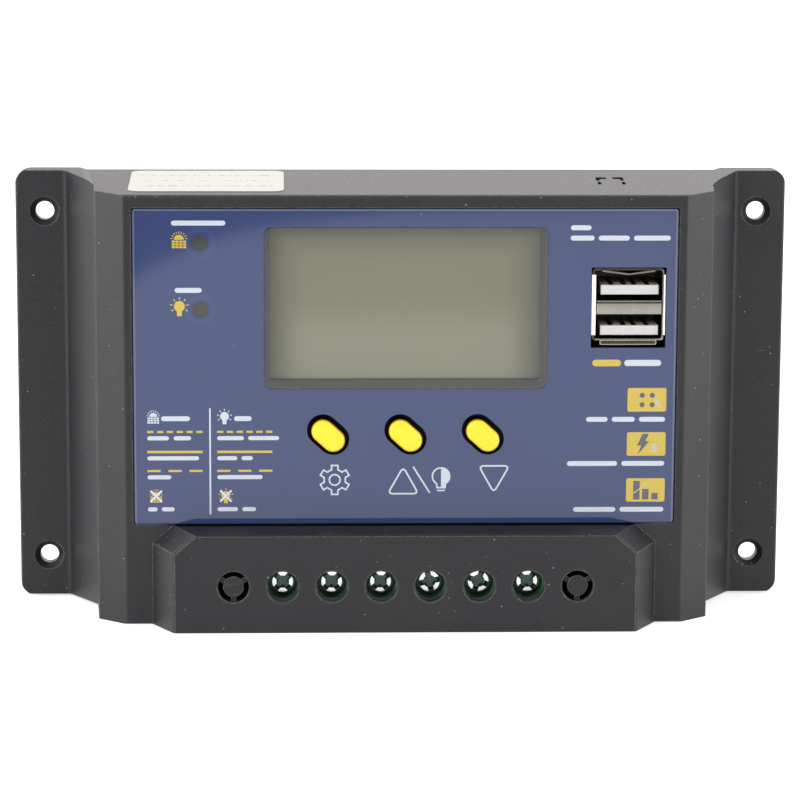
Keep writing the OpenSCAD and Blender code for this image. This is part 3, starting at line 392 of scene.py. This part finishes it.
def screw_steel():
    """Bright plated steel, with painted shade, darker and greener, down in the cross recess and behind the
    head.
    """
    look = Look("screw_steel")
    y = look.axes()[1]
    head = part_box("terminal_screw_1")[0][1]
    # Darker, greener and less metallic below the head's top: painted shade.
    deep_shade = look.band(y, head + 0.3 * MM, head + 0.55 * MM)
    shine = look.mix(look.noise(0.7 * MM, 3), srgb(205, 210, 208), srgb(238, 242, 240))
    base = look.mix(deep_shade, shine, srgb(62, 88, 84))
    return look.show(look.surface(
        Base_Color=base, Metallic=look.spread(deep_shade, 1.0, 0.3),
        Roughness=look.spread(look.noise(0.3 * MM, 2), 0.16, 0.34),
        Normal=look.bump(look.noise(0.25 * MM, 2), 6e-6)))


def usb_nickel():
    """Nickel-plated shell: painted highlight on the flanges at its sides, a duller divider painted lighter
    towards its bottom, and painted shade on its lower lip and down inside.
    """
    look = Look("usb_nickel")
    x, y, z = look.axes()
    low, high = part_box("usb_shell")
    centre = middle("usb_shell")
    left_wall, right_wall, blend = -6.3 * MM, 6.8 * MM, 0.05 * MM
    beside = look.math("SUBTRACT", x, centre.x)
    sides = look.math("MAXIMUM", look.band(beside, left_wall + blend, left_wall - blend),
                      look.band(beside, right_wall - blend, right_wall + blend))
    flange_highlight = look.math("MULTIPLY", sides, look.band(y, low[1] + 0.35 * MM, low[1] + 0.2 * MM))
    top_wall = look.band(z, high[2] - 0.45 * MM, high[2] - 0.3 * MM)
    shaded_fold = look.math("MAXIMUM", look.math("SUBTRACT", sides, flange_highlight), top_wall)
    shaded_lip = look.math("MULTIPLY", look.band(z, low[2] + 0.95 * MM, low[2] + 0.85 * MM),
                    look.band(y, low[1] + 0.05 * MM, low[1] + 0.15 * MM))
    # Dark on the inner side walls, under the top and down inside: painted shade.
    deep_shade = look.math("MAXIMUM", shaded_fold, look.band(y, low[1] + 0.4 * MM, low[1] + 2.5 * MM))
    # Painted light: the divider is lighter towards its bottom.
    painted_light_downward = look.band(z, centre.z + 1.6 * MM, centre.z - 0.9 * MM)
    cloud_and_painted_light = look.math("ADD", look.math("MULTIPLY", look.noise(2 * MM, 2), 0.4),
                      look.math("MULTIPLY", painted_light_downward, 0.7))
    base = look.mix(cloud_and_painted_light, srgb(116, 111, 103), srgb(164, 159, 150))
    # The side flanges are painted near white: painted highlight.
    base = look.mix(flange_highlight, base, srgb(255, 248, 238))
    # The lower lip is painted dark: painted shade.
    base = look.mix(shaded_lip, base, look.mix(look.noise(0.6 * MM), srgb(40, 40, 28), srgb(82, 80, 62)))
    base = look.mix(deep_shade, base, srgb(74, 69, 58))
    lines = look.noise(0.3 * MM, 2, (1, 1, 4))
    return look.show(look.surface(
        Base_Color=base, Metallic=1.0, Roughness=look.spread(lines, 0.2, 0.34),
        Normal=look.bump(lines, 3e-6, look.rounded(0.1 * MM))))


def tongue_white():
    """White moulding, creamy at its front edges, with painted shade behind them: creamier, then darker
    farther back under the shell.
    """
    look = Look("tongue_white")
    y = look.axes()[1]
    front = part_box("usb_tongues")[0][1]
    base = look.mix(look.noise(1.5 * MM, 3), srgb(212, 213, 215), srgb(224, 225, 227))
    base = look.mix(look.edges(0.4 * MM), base, srgb(206, 192, 160))
    # Painted shade: creamier, then dark, farther behind the front.
    base = look.mix(look.band(y, front + 0.1 * MM, front + 0.4 * MM), base, srgb(214, 206, 182))
    base = look.mix(look.band(y, front + 3 * MM, front + 7 * MM), base, srgb(120, 116, 102))
    return look.show(look.surface(
        Base_Color=base, Roughness=look.spread(look.noise(0.8 * MM), 0.3, 0.42),
        Normal=look.bump(look.noise(0.25 * MM), 4e-6)))


def block_green():
    """Glass-filled green plastic, with painted shade: dull and dark on up-facing faces, low in its wells
    and deep down in them.
    """
    look = Look("block_green")
    _, y, z = look.axes()
    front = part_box("terminal_block")[0][1]
    facing_up = look.facing()[2]
    base = look.mix(look.noise(5 * MM, 4), srgb(46, 122, 80), srgb(60, 146, 98))
    base = look.mix(look.edges(0.15 * MM), base, srgb(88, 160, 116))
    screw_z = middle("terminal_screw_1").z
    # Painted shade on up-facing faces and low in the wells.
    shaded_low = look.math("MAXIMUM", look.band(facing_up, 0.2, 0.8),
                      look.band(z, screw_z - 0.6 * MM, screw_z - 1.8 * MM))
    base = look.mix(look.math("MULTIPLY", shaded_low, 0.75), base, srgb(50, 62, 48))
    # Painted shade deep down in the wells.
    base = look.mix(look.band(y, front + 3 * MM, front + 4.8 * MM), base, srgb(40, 46, 39))
    return look.show(look.surface(
        Base_Color=base, Roughness=look.spread(look.noise(0.8 * MM, 3), 0.25, 0.4),
        Normal=look.bump(look.noise(0.3 * MM, 2), 5e-6)))


def clear_resin():
    """Water-clear epoxy of an indicator lamp, slightly cloudy inside."""
    look = Look("led_clear")
    base = look.mix(look.noise(1 * MM), (0.85, 0.88, 0.86, 1), (0.95, 0.96, 0.95, 1))
    return look.show(look.surface(Base_Color=base, Roughness=0.05, Transmission_Weight=0.9, IOR=1.5))


def board(name):
    """Solder mask over a glass weave, with tracks showing as paler green lines."""
    look = Look(name)
    upright = look.node("ShaderNodeMapping", {"Vector": look.place, "Rotation": (math.pi / 2, 0, 0)})
    tracks = look.node("ShaderNodeTexBrick", {
        "Vector": upright.outputs[0], "Scale": 1 / (7 * MM),
        "Mortar Size": 0.06, "Mortar Smooth": 0.2}).outputs["Fac"]
    base = look.mix(look.noise(3 * MM, 4), srgb(18, 78, 44), srgb(24, 92, 52))
    base = look.mix(look.math("MULTIPLY", tracks, 0.6), base, srgb(48, 128, 78))
    weave = look.noise(0.25 * MM, 1, (1, 1, 5))
    return look.show(look.surface(Base_Color=base, Roughness=look.spread(weave, 0.25, 0.4),
                                  Normal=look.bump(weave, 4e-6)))


def copper_drum():
    """Lacquered copper winding on a ferrite drum."""
    look = Look("copper_drum")
    turns = look.node("ShaderNodeTexWave", {
        "Vector": look.place, "Scale": 1 / (1.9 * MM), "Distortion": 0.4},
        bands_direction="Y").outputs["Fac"]
    base = look.mix(turns, srgb(96, 50, 26), srgb(186, 108, 60))
    return look.show(look.surface(Base_Color=base, Metallic=0.6, Roughness=look.spread(turns, 0.25, 0.4),
                                  Normal=look.bump(turns, 1.2e-4)))


def paper():
    """White label with a trace of fibres and three rows of grey dashes in place of small print."""
    look = Look("sticker_white")
    x, y, _ = look.axes()
    low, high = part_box("rating_sticker")
    fibres = look.noise(0.35 * MM, 4, (1, 2, 2))
    base = look.mix(fibres, srgb(197, 194, 187), srgb(212, 209, 203))
    rows, half_width = 3, 13 * MM
    down = look.math("DIVIDE", look.math("SUBTRACT", high[1], y), high[1] - low[1])
    down = look.math("MULTIPLY", down, rows + 1)
    row = look.band(look.math("PINGPONG", look.math("ADD", down, 0.5), 0.5), 0.44, 0.47)
    inside = look.math("MULTIPLY", look.band(down, 0.6, 0.7), look.band(down, rows + 0.4, rows + 0.3))
    inside = look.math("MULTIPLY", inside, look.band(
        look.distance(x, middle("rating_sticker").x), half_width, half_width - 0.2 * MM))
    dash = look.band(look.noise(0.7 * MM, 1, (1, 0.1, 0.1)), 0.5, 0.56)
    marks = look.math("MULTIPLY", dash, look.math("MULTIPLY", row, inside))
    base = look.mix(marks, base, srgb(120, 118, 116))
    return look.show(look.surface(Base_Color=base, Roughness=look.spread(fibres, 0.4, 0.55),
                                  Normal=look.bump(fibres, 3e-6)))


FINISHES = {
    "shell_black": shell_black(),
    "plate_aluminium": metal("plate_aluminium", srgb(158, 160, 164), 0.38, (1, 1, 12)),
    "steel": metal("steel", srgb(206, 208, 208), 0.25),
    "film_blue": film_blue(),
    "clear_window": clear_window(),
    "smoke_window": smoke_window(),
    "display_glass": display_glass(),
    "black_plastic": plastic("black_plastic", srgb(38, 38, 40), 0.4),
    "backlight_white": plastic("backlight_white", srgb(236, 237, 232), 0.5, vary=0.04, wear=0.05),
    "tinned": metal("tinned", srgb(214, 214, 210), 0.3),
    "button_yellow": button_yellow(),
    "led_clear": clear_resin(),
    "board_green": board("board_green"),
    "chip_black": plastic("chip_black", srgb(34, 34, 36), 0.55, grain=0.15 * MM),
    "brass_gold": metal("brass_gold", srgb(232, 190, 96), 0.2),
    "usb_nickel": usb_nickel(),
    "tongue_white": tongue_white(),
    "block_green": block_green(),
    "bar_brass": metal("bar_brass", srgb(206, 170, 92), 0.3),
    "pad_grey": plastic("pad_grey", srgb(150, 152, 150), 0.7),
    "capacitor_sleeve": plastic("capacitor_sleeve", srgb(28, 32, 58), 0.25),
    "copper_drum": copper_drum(),
    "shunt_metal": metal("shunt_metal", srgb(196, 150, 112), 0.4),
    "sticker_white": paper(),
}
# Nodes that look different from the rest of their slot
OWN = dict.fromkeys([f"terminal_screw_{i}" for i in range(1, 7)], screw_steel())
# The contacts are painted dark brown: painted shade from the shell over them.
OWN["usb_contacts"] = metal("usb_contacts", srgb(58, 44, 26), 0.35)


def dress_nodes():
    """Each CAD node takes its own finish, or the finish of its slot in the record."""
    for part in frame["record"]["subparts"]:
        slots = frame["nodes"][part["node"]].data.materials
        slots.clear()
        slots.append(OWN.get(part["node"], FINISHES[part["material_slot"]]))


# ---- Printed marks ---------------------------------------------------------------------------

FILM_LOW, FILM_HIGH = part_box("front_film")
# Places and sizes across the film, in millimetres
FILM_LEFT, FILM_RIGHT, FILM_TOP = FILM_LOW[0] / MM, FILM_HIGH[0] / MM, FILM_HIGH[2] / MM
BUTTON_ROW = middle("button_left").z / MM
WORD_HEIGHT = 0.95
SMALL_WORD_HEIGHT = 0.85 * WORD_HEIGHT
STROKE, FINE_STROKE = 0.32, 0.3


def around(x, z, radius, angles):
    """Points on a circle, at angles in degrees."""
    return [(x + radius * math.cos(math.radians(a)), z + radius * math.sin(math.radians(a)))
            for a in angles]


def shifted(points, x, z):
    return [(x + dx, z + dz) for dx, dz in points]


class Ink:
    """Flat shapes in millimetres across the film, gathered into one thin closed mesh."""

    LAYERS, LAYER_STEP = 12, 0.0004 * MM
    SUNK = 0.005 * MM

    def __init__(self, name, material, height):
        self.name = name
        self.material = material
        self.height = height
        self.shapes = 0
        self.mesh = bmesh.new()

    def depths(self):
        """Front and back of the next shape. Layers are taken in turn, so shapes in a row don't fight."""
        self.shapes += 1
        layer = self.shapes % self.LAYERS
        return FILM_LOW[1] - self.height - layer * self.LAYER_STEP, FILM_LOW[1] + self.SUNK

    def fill(self, outline):
        """A flat shape from its outline, anticlockwise as seen from the front."""
        front, back = self.depths()
        rows = [[self.mesh.verts.new((x * MM, y, z * MM)) for x, z in outline] for y in (front, back)]
        self.mesh.faces.new(rows[0])
        self.mesh.faces.new(rows[1][::-1])
        for i in range(len(outline)):
            j = (i + 1) % len(outline)
            self.mesh.faces.new((rows[0][j], rows[0][i], rows[1][i], rows[1][j]))

    def bar(self, x, z, width, height, radius=None):
        """A rounded bar about its centre."""
        r = min(width, height) / 2 if radius is None else radius
        self.fill([point for sx, sz, start in ((1, -1, 270), (1, 1, 0), (-1, 1, 90), (-1, -1, 180))
                   for point in around(x + sx * (width / 2 - r), z + sz * (height / 2 - r), r,
                                       range(start, start + 91, 30))])

    def disc(self, x, z, radius, start=0, end=360):
        """A disc, or a slice of one that is cut straight across."""
        steps = max(4, round((end - start) / 20))
        count = steps if end - start == 360 else steps + 1
        self.fill(around(x, z, radius, [start + (end - start) * i / steps for i in range(count)]))

    def line(self, x0, z0, x1, z1, width):
        """A straight stroke with square ends."""
        along = Vector((x1 - x0, z1 - z0)).normalized()
        side = Vector((-along.y, along.x)) * width / 2
        a, b = Vector((x0, z0)), Vector((x1, z1))
        self.fill([tuple(a - side), tuple(b - side), tuple(b + side), tuple(a + side)])

    def outline(self, points, width):
        """A closed stroke along the points, anticlockwise, as four-sided stretches that meet at mitres."""
        count = len(points)
        inner, outer = [], []
        for i in range(count):
            before, here, after = (Vector(points[j % count]) for j in (i - 1, i, i + 1))
            a, b = (here - before).normalized(), (after - here).normalized()
            out = Vector((a.y + b.y, -a.x - b.x)).normalized()
            reach = width / 2 / max(0.3, out.dot(Vector((a.y, -a.x))))
            outer.append(here + out * reach)
            inner.append(here - out * reach)
        front, back = self.depths()
        rings = [[self.mesh.verts.new((p.x * MM, y, p.y * MM)) for p in ring]
                 for ring, y in ((outer, front), (inner, front), (inner, back), (outer, back))]
        for i in range(count):
            j = (i + 1) % count
            for k in range(4):
                ring, following = rings[k], rings[(k + 1) % 4]
                self.mesh.faces.new((ring[i], ring[j], following[j], following[i]))

    def rays(self, x, z, inner, outer, width, angles):
        """Short strokes that point away from a centre."""
        for start, end in zip(around(x, z, inner, angles), around(x, z, outer, angles)):
            self.line(*start, *end, width)

    def place(self):
        """The gathered shapes as a piece that rides on the case."""
        data = bpy.data.meshes.new(self.name)
        bmesh.ops.recalc_face_normals(self.mesh, faces=self.mesh.faces)
        self.mesh.to_mesh(data)
        self.mesh.free()
        data.materials.append(self.material)
        piece = bpy.data.objects.new(self.name, data)
        bpy.context.scene.collection.objects.link(piece)
        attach(piece, "case")


def sun_panel(pen, x, z, size):
    """Half a sun with rays over a panel of four by three cells."""
    panel_w, cell_gap = 0.9 * size, 0.035 * size
    panel_h = 0.5 * size
    top = z - size / 2 + panel_h
    for i in range(4):
        for j in range(3):
            pen.bar(x + (i - 1.5) * panel_w / 4, top - (j + 0.5) * panel_h / 3,
                    panel_w / 4 - cell_gap, panel_h / 3 - cell_gap, 0.02 * size)
    pen.disc(x, top + 0.03 * size, 0.3 * size, 0, 180)
    pen.rays(x, top + 0.03 * size, 0.38 * size, 0.5 * size, 0.05 * size, range(10, 171, 20))


def bulb(pen, x, z, size):
    """Light bulb with rays."""
    middle_z = z + 0.06 * size
    pen.disc(x, middle_z, 0.33 * size)
    pen.bar(x, z - 0.36 * size, 0.3 * size, 0.36 * size, 0.05 * size)
    pen.rays(x, middle_z, 0.42 * size, 0.56 * size, 0.065 * size, range(-30, 211, 40))


def cross(pen, x, z, size, width):
    """Two crossed strokes."""
    half = size / 2
    pen.line(x - half, z - half, x + half, z + half, width)
    pen.line(x - half, z + half, x + half, z - half, width)


def dashes(pen, x, z, width, count, share):
    """A row of dashes from x, each a share of its step."""
    height, corner = 0.42, 0.03
    step = width / (count - 1 + share)
    for i in range(count):
        pen.bar(x + (i + share / 2) * step, z, share * step, height, corner)


def words(pen, x, z, lengths, height=WORD_HEIGHT):
    """A line of words as plain bars from x, lengths and gaps in turn. No letters are drawn."""
    for i, length in enumerate(lengths):
        if i % 2 == 0:
            pen.bar(x + length / 2, z, length, height)
        x += length


def gear(pen, x, z, radius):
    """Outline of a toothed wheel with a ring in it."""
    teeth, root, hub = 6, 0.72, 0.36
    points = []
    for i in range(teeth):
        for turn, share in ((-17, root), (-12, 1.0), (12, 1.0), (17, root)):
            points += around(x, z, share * radius, [90 + i * 360 / teeth + turn])
    pen.outline(points, FINE_STROKE)
    pen.outline(around(x, z, hub * radius, range(0, 360, 20)), FINE_STROKE)


def triangle(pen, x, z, up):
    """Outline of a triangle with rounded corners."""
    width, height, cut = 5.95, 5.3, 0.13
    corners = [(-width / 2, -height / 2), (width / 2, -height / 2), (0, height / 2)]
    points = []
    for i in range(3):
        here, before, after = Vector(corners[i]), Vector(corners[i - 1]), Vector(corners[(i + 1) % 3])
        start, end = here.lerp(before, cut), here.lerp(after, cut)
        points += [start, (start + end + 2 * here) / 4 + (start + end - 2 * here) / 16, end]
    sign = 1 if up else -1
    pen.outline([(x + sign * p.x, z + sign * p.y) for p in points], STROKE)


def indicator_labels(white, yellow):
    """A symbol and a word beside each indicator."""
    for led, draw, length, shift in (("led_upper", sun_panel, 10.4, 2), ("led_lower", bulb, 5.2, 0)):
        at = middle(led) / MM
        draw(yellow, at.x - 4, at.z + 0.5, 3.2)
        words(white, at.x - 2.3 - length / 2 + shift, at.z + 3.8, [length])


def indicator_key(white, yellow, over):
    """Key to the indicators: two columns beside a rule. Each has a title and four lines of words."""
    column_w, symbol = 10.7, 2.6
    white.bar(FILM_LEFT + 14.65, BUTTON_ROW - 5.05, STROKE, 21, 0.1)
    for x, draw, symbol_x, title_x, title, lines in (
            (FILM_LEFT + 2.5, sun_panel, 1.2, 2.7, [5.6],
             ([4.2, 0.9, 3.4], [10], [4.6], [1.9, 0.8, 2.5])),
            (FILM_LEFT + 16, bulb, 1.45, 3.3, [3.4],
             ([5.2, 0.8, 6], [3.9, 0.8, 2.2], [8.8], [4, 0.8, 2.7]))):
        draw(white, x + symbol_x, BUTTON_ROW + 3.7, symbol)
        words(white, x + title_x, BUTTON_ROW + 3.4, title)
        for drop, lengths in zip((0.45, 4.4, 8.15, 14.5), lines):
            words(white, x, BUTTON_ROW - drop, lengths, SMALL_WORD_HEIGHT)
        # A line of short dashes, a full line, a line of long dashes, and the symbol crossed out
        dashes(yellow, x, BUTTON_ROW + 0.8, column_w, 6, 0.64)
        yellow.bar(x + column_w / 2, BUTTON_ROW - 3.15, column_w, 0.48, 0.03)
        dashes(yellow, x, BUTTON_ROW - 6.9, column_w, 3, 0.63)
        draw(yellow, x + 1.65, BUTTON_ROW - 11.9, symbol)
        cross(over, x + 1.65, BUTTON_ROW - 11.9, 2.2, 0.36)


def lamp_symbol(pen, x, z):
    """Outline of a lamp with its right half filled, over its cap."""
    bulb_z, neck_z = z + 0.65, z - 1.6
    pen.outline(around(x, bulb_z, 1.7, range(-60, 241, 20)) + [(x - 0.8, neck_z), (x + 0.8, neck_z)],
                FINE_STROKE)
    pen.disc(x, bulb_z, 1.6, -90, 90)
    pen.bar(x + 0.4, z - 1.05, 0.8, 1.1, 0.05)
    pen.bar(x, z - 2.15, 1.6, 0.28, 0.05)


def button_symbols(white):
    """Under the buttons: gear, triangle and lamp with a slash between them, triangle."""
    left, centre, right = (middle(f"button_{side}").x / MM for side in ("left", "middle", "right"))
    z = BUTTON_ROW - 8.75
    gear(white, left + 1.28, z, 2.93)
    triangle(white, centre - 0.42, z - 0.12, True)
    white.line(centre + 1.5, z + 2.6, centre + 4.75, z - 2.6, STROKE)
    lamp_symbol(white, centre + 6.95, z)
    triangle(white, right + 2.25, z + 0.05, False)


def corner_and_socket_words(white, yellow):
    """Two lines of words at the top right, and one under the sockets."""
    words(white, FILM_RIGHT - 20.7, FILM_TOP - 3.6, [4])
    words(white, FILM_RIGHT - 20.7, FILM_TOP - 5.6, [4.6, 0.8, 6, 0.8, 7.1])
    socket = middle("usb_tongues").x / MM
    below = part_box("usb_shell")[0][2] / MM - 3.5
    words(yellow, socket - 6.9, below, [5.6], 1.3)
    words(white, socket - 0.7, below, [7.2], 1.2)


# Outlines in millimetres from a tile's middle, anticlockwise
POINTER = ((1.7, -1.3), (2.0, -0.9), (2.6, -1.6), (2.9, -1.4), (2.3, -0.7), (2.9, -0.6), (1.5, 0.35))
BOLT = ((-0.75, 2), (-1.75, -0.3), (-0.95, -0.3), (-1.65, -2.1), (0.6, 0.55), (-0.2, 0.55), (0.5, 2))
ARROW = ((0.75, -0.7), (1.1, -0.7), (1.1, -1.7), (2.1, -1.7), (2.1, -0.7), (2.45, -0.7), (1.6, 0.4))


def dots_and_pointer(grey, pale, x, z):
    """Four dots in a square, and a pointer at the lower right."""
    for sx in (-1, 1):
        for sz in (-1, 1):
            grey.disc(x + 0.05 + 0.98 * sx, z - 0.05 + 0.92 * sz, 0.5)
    pale.fill(shifted(POINTER, x, z))


def bolt_and_arrow(grey, pale, x, z):
    """A lightning bolt with an upward arrow beside it."""
    grey.fill(shifted(BOLT, x, z))
    pale.fill(shifted(ARROW, x, z))


def chart(grey, pale, x, z):
    """Three bars with a line of three stretches over them."""
    for dx, height in ((-1.75, 3.7), (0, 2.1), (1.8, 1.3)):
        grey.bar(x + dx, z - 1.9 + height / 2, 1.25, height, 0.04)
    step, heights = 1.35, (-0.7, 0.3, 1.45, 0.2)
    for k in range(3):
        start = x - 2.4 + k * step
        pale.line(start, z + heights[k], start + step, z + heights[k + 1], 0.2)


def tiles(white, yellow, grey, pale):
    """Three yellow tiles with their symbols, each over a line of words that ends at the right."""
    x, tile_w, tile_h, corner = FILM_RIGHT - 5.45, 7.55, 4.65, 0.35
    for drop, symbol, lengths in ((0, dots_and_pointer, [4.2, 0.8, 4.5, 0.8, 5.1]),
                                  (8.73, bolt_and_arrow, [9.8, 0.8, 8.4]),
                                  (17.86, chart, [8.3, 0.8, 8.6])):
        z = BUTTON_ROW + 6.95 - drop
        yellow.bar(x, z, tile_w, tile_h, corner)
        words(white, FILM_RIGHT - 1.85 - sum(lengths), z - 3.85, lengths)
        symbol(grey, pale, x, z)


def print_marks():
    """The overlay's symbols and rules, one piece for each ink. Words are plain bars."""
    white = Ink("print_white", ink("ink_white", srgb(214, 220, 232)), height=0.02 * MM)
    yellow = Ink("print_yellow", ink("ink_yellow", srgb(216, 187, 66)), height=0.02 * MM)
    grey = Ink("print_grey", ink("ink_grey", srgb(88, 90, 104)), height=0.03 * MM)
    pale = Ink("print_pale", ink("ink_pale", srgb(205, 196, 160)), height=0.034 * MM)
    over = Ink("print_white_over", ink("ink_white_over", srgb(226, 230, 240)), height=0.034 * MM)
    indicator_labels(white, yellow)
    indicator_key(white, yellow, over)
    button_symbols(white)
    corner_and_socket_words(white, yellow)
    tiles(white, yellow, grey, pale)
    for pen in (white, yellow, grey, pale, over):
        pen.place()


# ---- Floor, light and camera -----------------------------------------------------------------

def seen_by(nodes):
    """1 for the rays that show the background: from the camera, from gloss and through glass."""
    path = nodes.node("ShaderNodeLightPath").outputs
    return nodes.math("MAXIMUM", path["Is Camera Ray"],
                      nodes.math("MAXIMUM", path["Is Glossy Ray"], path["Is Transmission Ray"]))


def painted_reflection_card(look):
    """1 in gloss on a dark card with a curved edge, which lies in front of the object: a painted
    reflection, seen only in gloss.
    """
    x, y, _ = look.axes()
    corner_x, corner_y = -0.106, -0.74
    curve, curve_fade = 0.0076, 0.001
    near_edge, half_width, fade = -0.42, 0.5, 0.02
    right = look.math("MAXIMUM", look.math("SUBTRACT", x, corner_x), 0)
    behind = look.math("MAXIMUM", look.math("SUBTRACT", y, corner_y), 0)
    clear = look.band(look.math("MULTIPLY", right, behind), curve, curve + curve_fade)
    inside = look.math("MULTIPLY", look.band(y, near_edge, near_edge - fade),
                       look.band(look.math("ABSOLUTE", x), half_width, half_width - fade))
    reflection_card = look.math("MULTIPLY", inside, look.inverse(clear))
    return look.math("MULTIPLY", reflection_card, look.node("ShaderNodeLightPath").outputs["Is Glossy Ray"])


def floor_paper():
    """White paper that keeps the shadow and shows white, with a painted reflection patch seen only in
    gloss. It is clear from below and blocks no lamp.
    """
    look = Look("floor_white")
    glow_strength = 0.62
    base = look.mix(look.noise(0.2, 2), (0.8, 0.8, 0.8, 1), (0.82, 0.82, 0.82, 1))
    # A dark patch seen only in gloss: painted reflection for the film to mirror.
    reflection_card = painted_reflection_card(look)
    base = look.mix(reflection_card, base, (0.35, 0.35, 0.35, 1))
    lift = look.math("MULTIPLY", seen_by(look), look.inverse(reflection_card))
    matt = look.node("ShaderNodeBsdfDiffuse", {"Color": base}).outputs[0]
    glow = look.node("ShaderNodeEmission", {
        "Color": (1, 1, 1, 1), "Strength": look.math("MULTIPLY", lift, glow_strength)}).outputs[0]
    top_side = look.node("ShaderNodeAddShader", {0: matt, 1: glow}).outputs[0]
    clear = look.node("ShaderNodeBsdfTransparent").outputs[0]
    passes = look.math("MAXIMUM", look.geometry("Backfacing"),
                       look.node("ShaderNodeLightPath").outputs["Is Shadow Ray"])
    return look.show(look.node("ShaderNodeMixShader", {0: passes, 1: top_side, 2: clear}).outputs[0])


def floor():
    """A square sheet just under the object."""
    half, z = 6, cad_box[0].z - 0.05 * MM
    data = bpy.data.meshes.new("floor")
    data.from_pydata([(-half, -half, z), (half, -half, z), (half, half, z), (-half, half, z)],
                     [], [(0, 1, 2, 3)])
    data.materials.append(floor_paper())
    piece = bpy.data.objects.new("floor", data)
    bpy.context.scene.collection.objects.link(piece)


def world():
    """White to the camera, in gloss and through glass, and a plain grey for the light it gives."""
    grey_light, white = 0.45, 1.0
    made = bpy.data.worlds.new("studio")
    made.use_nodes = True
    nodes = Nodes(made.node_tree)
    sky = nodes.node("ShaderNodeBackground", {
        "Color": (1, 1, 1, 1), "Strength": nodes.spread(seen_by(nodes), grey_light, white)})
    nodes.node("ShaderNodeOutputWorld", {"Surface": sky.outputs[0]})
    bpy.context.scene.world = made


def lamp(name, place, size, power, tint=(1, 1, 1)):
    """A square soft lamp that faces the middle of the object."""
    data = bpy.data.lights.new(name, "AREA")
    data.size = size
    data.energy = power
    data.color = tint
    made = bpy.data.objects.new(name, data)
    made.location = place
    target = (cad_box[0] + cad_box[1]) / 2
    made.rotation_euler = (target - Vector(place)).to_track_quat("-Z", "Y").to_euler()
    made.visible_camera = False
    bpy.context.scene.collection.objects.link(made)


def camera():
    """Long lens in front of the object, a little above it and to its left."""
    distance = 677.5 * MM
    yaw, pitch, roll = (math.radians(angle) for angle in (2.06, 10.24, -0.26))
    # The frame's origin lies this far right of the line of sight, and above it
    origin_right, origin_up = 0.04 * MM, 3.86 * MM
    # A level camera's right, up and back, as directions of the frame
    level = Matrix(((1, 0, 0), (0, 0, -1), (0, 1, 0)))
    turn = (Matrix.Rotation(roll, 3, "Z") @ Matrix.Rotation(pitch, 3, "X")
            @ Matrix.Rotation(yaw, 3, "Y")).transposed()
    facing = level @ turn
    spot = facing @ Vector((-origin_right, -origin_up, distance))
    data = bpy.data.cameras.new("camera")
    data.sensor_width, data.lens = 36, 151.245
    data.clip_start, data.clip_end = 0.01, 50
    made = bpy.data.objects.new("camera", data)
    made.matrix_world = Matrix.Translation(spot) @ facing.to_4x4()
    bpy.context.scene.collection.objects.link(made)
    bpy.context.scene.camera = made


dress_nodes()
print_marks()
floor()
world()
# Each lamp's place and size in metres, its power in watts, and its tint where it isn't white
lamp("key", (-0.75, -0.8, 0.5), 0.5, 5.6)
lamp("fill", (0.75, -0.8, 0.35), 0.6, 2.4)
lamp("top", (0.1, 0.25, 0.95), 0.6, 2.5)
lamp("left", (-0.8, 0.08, 0.1), 0.6, 5.3)
lamp("right", (0.8, 0.0, 0.1), 0.6, 4.0)
lamp("back", (0.2, 0.9, 0.3), 0.8, 2.65, (1, 0.94, 0.9))
lamp("back left", (-0.65, 0.75, 0.5), 0.4, 1.5)
lamp("under", (0.15, 0.1, -0.8), 0.6, 4.0)
camera()
bpy.context.scene.view_settings.view_transform = "Standard"
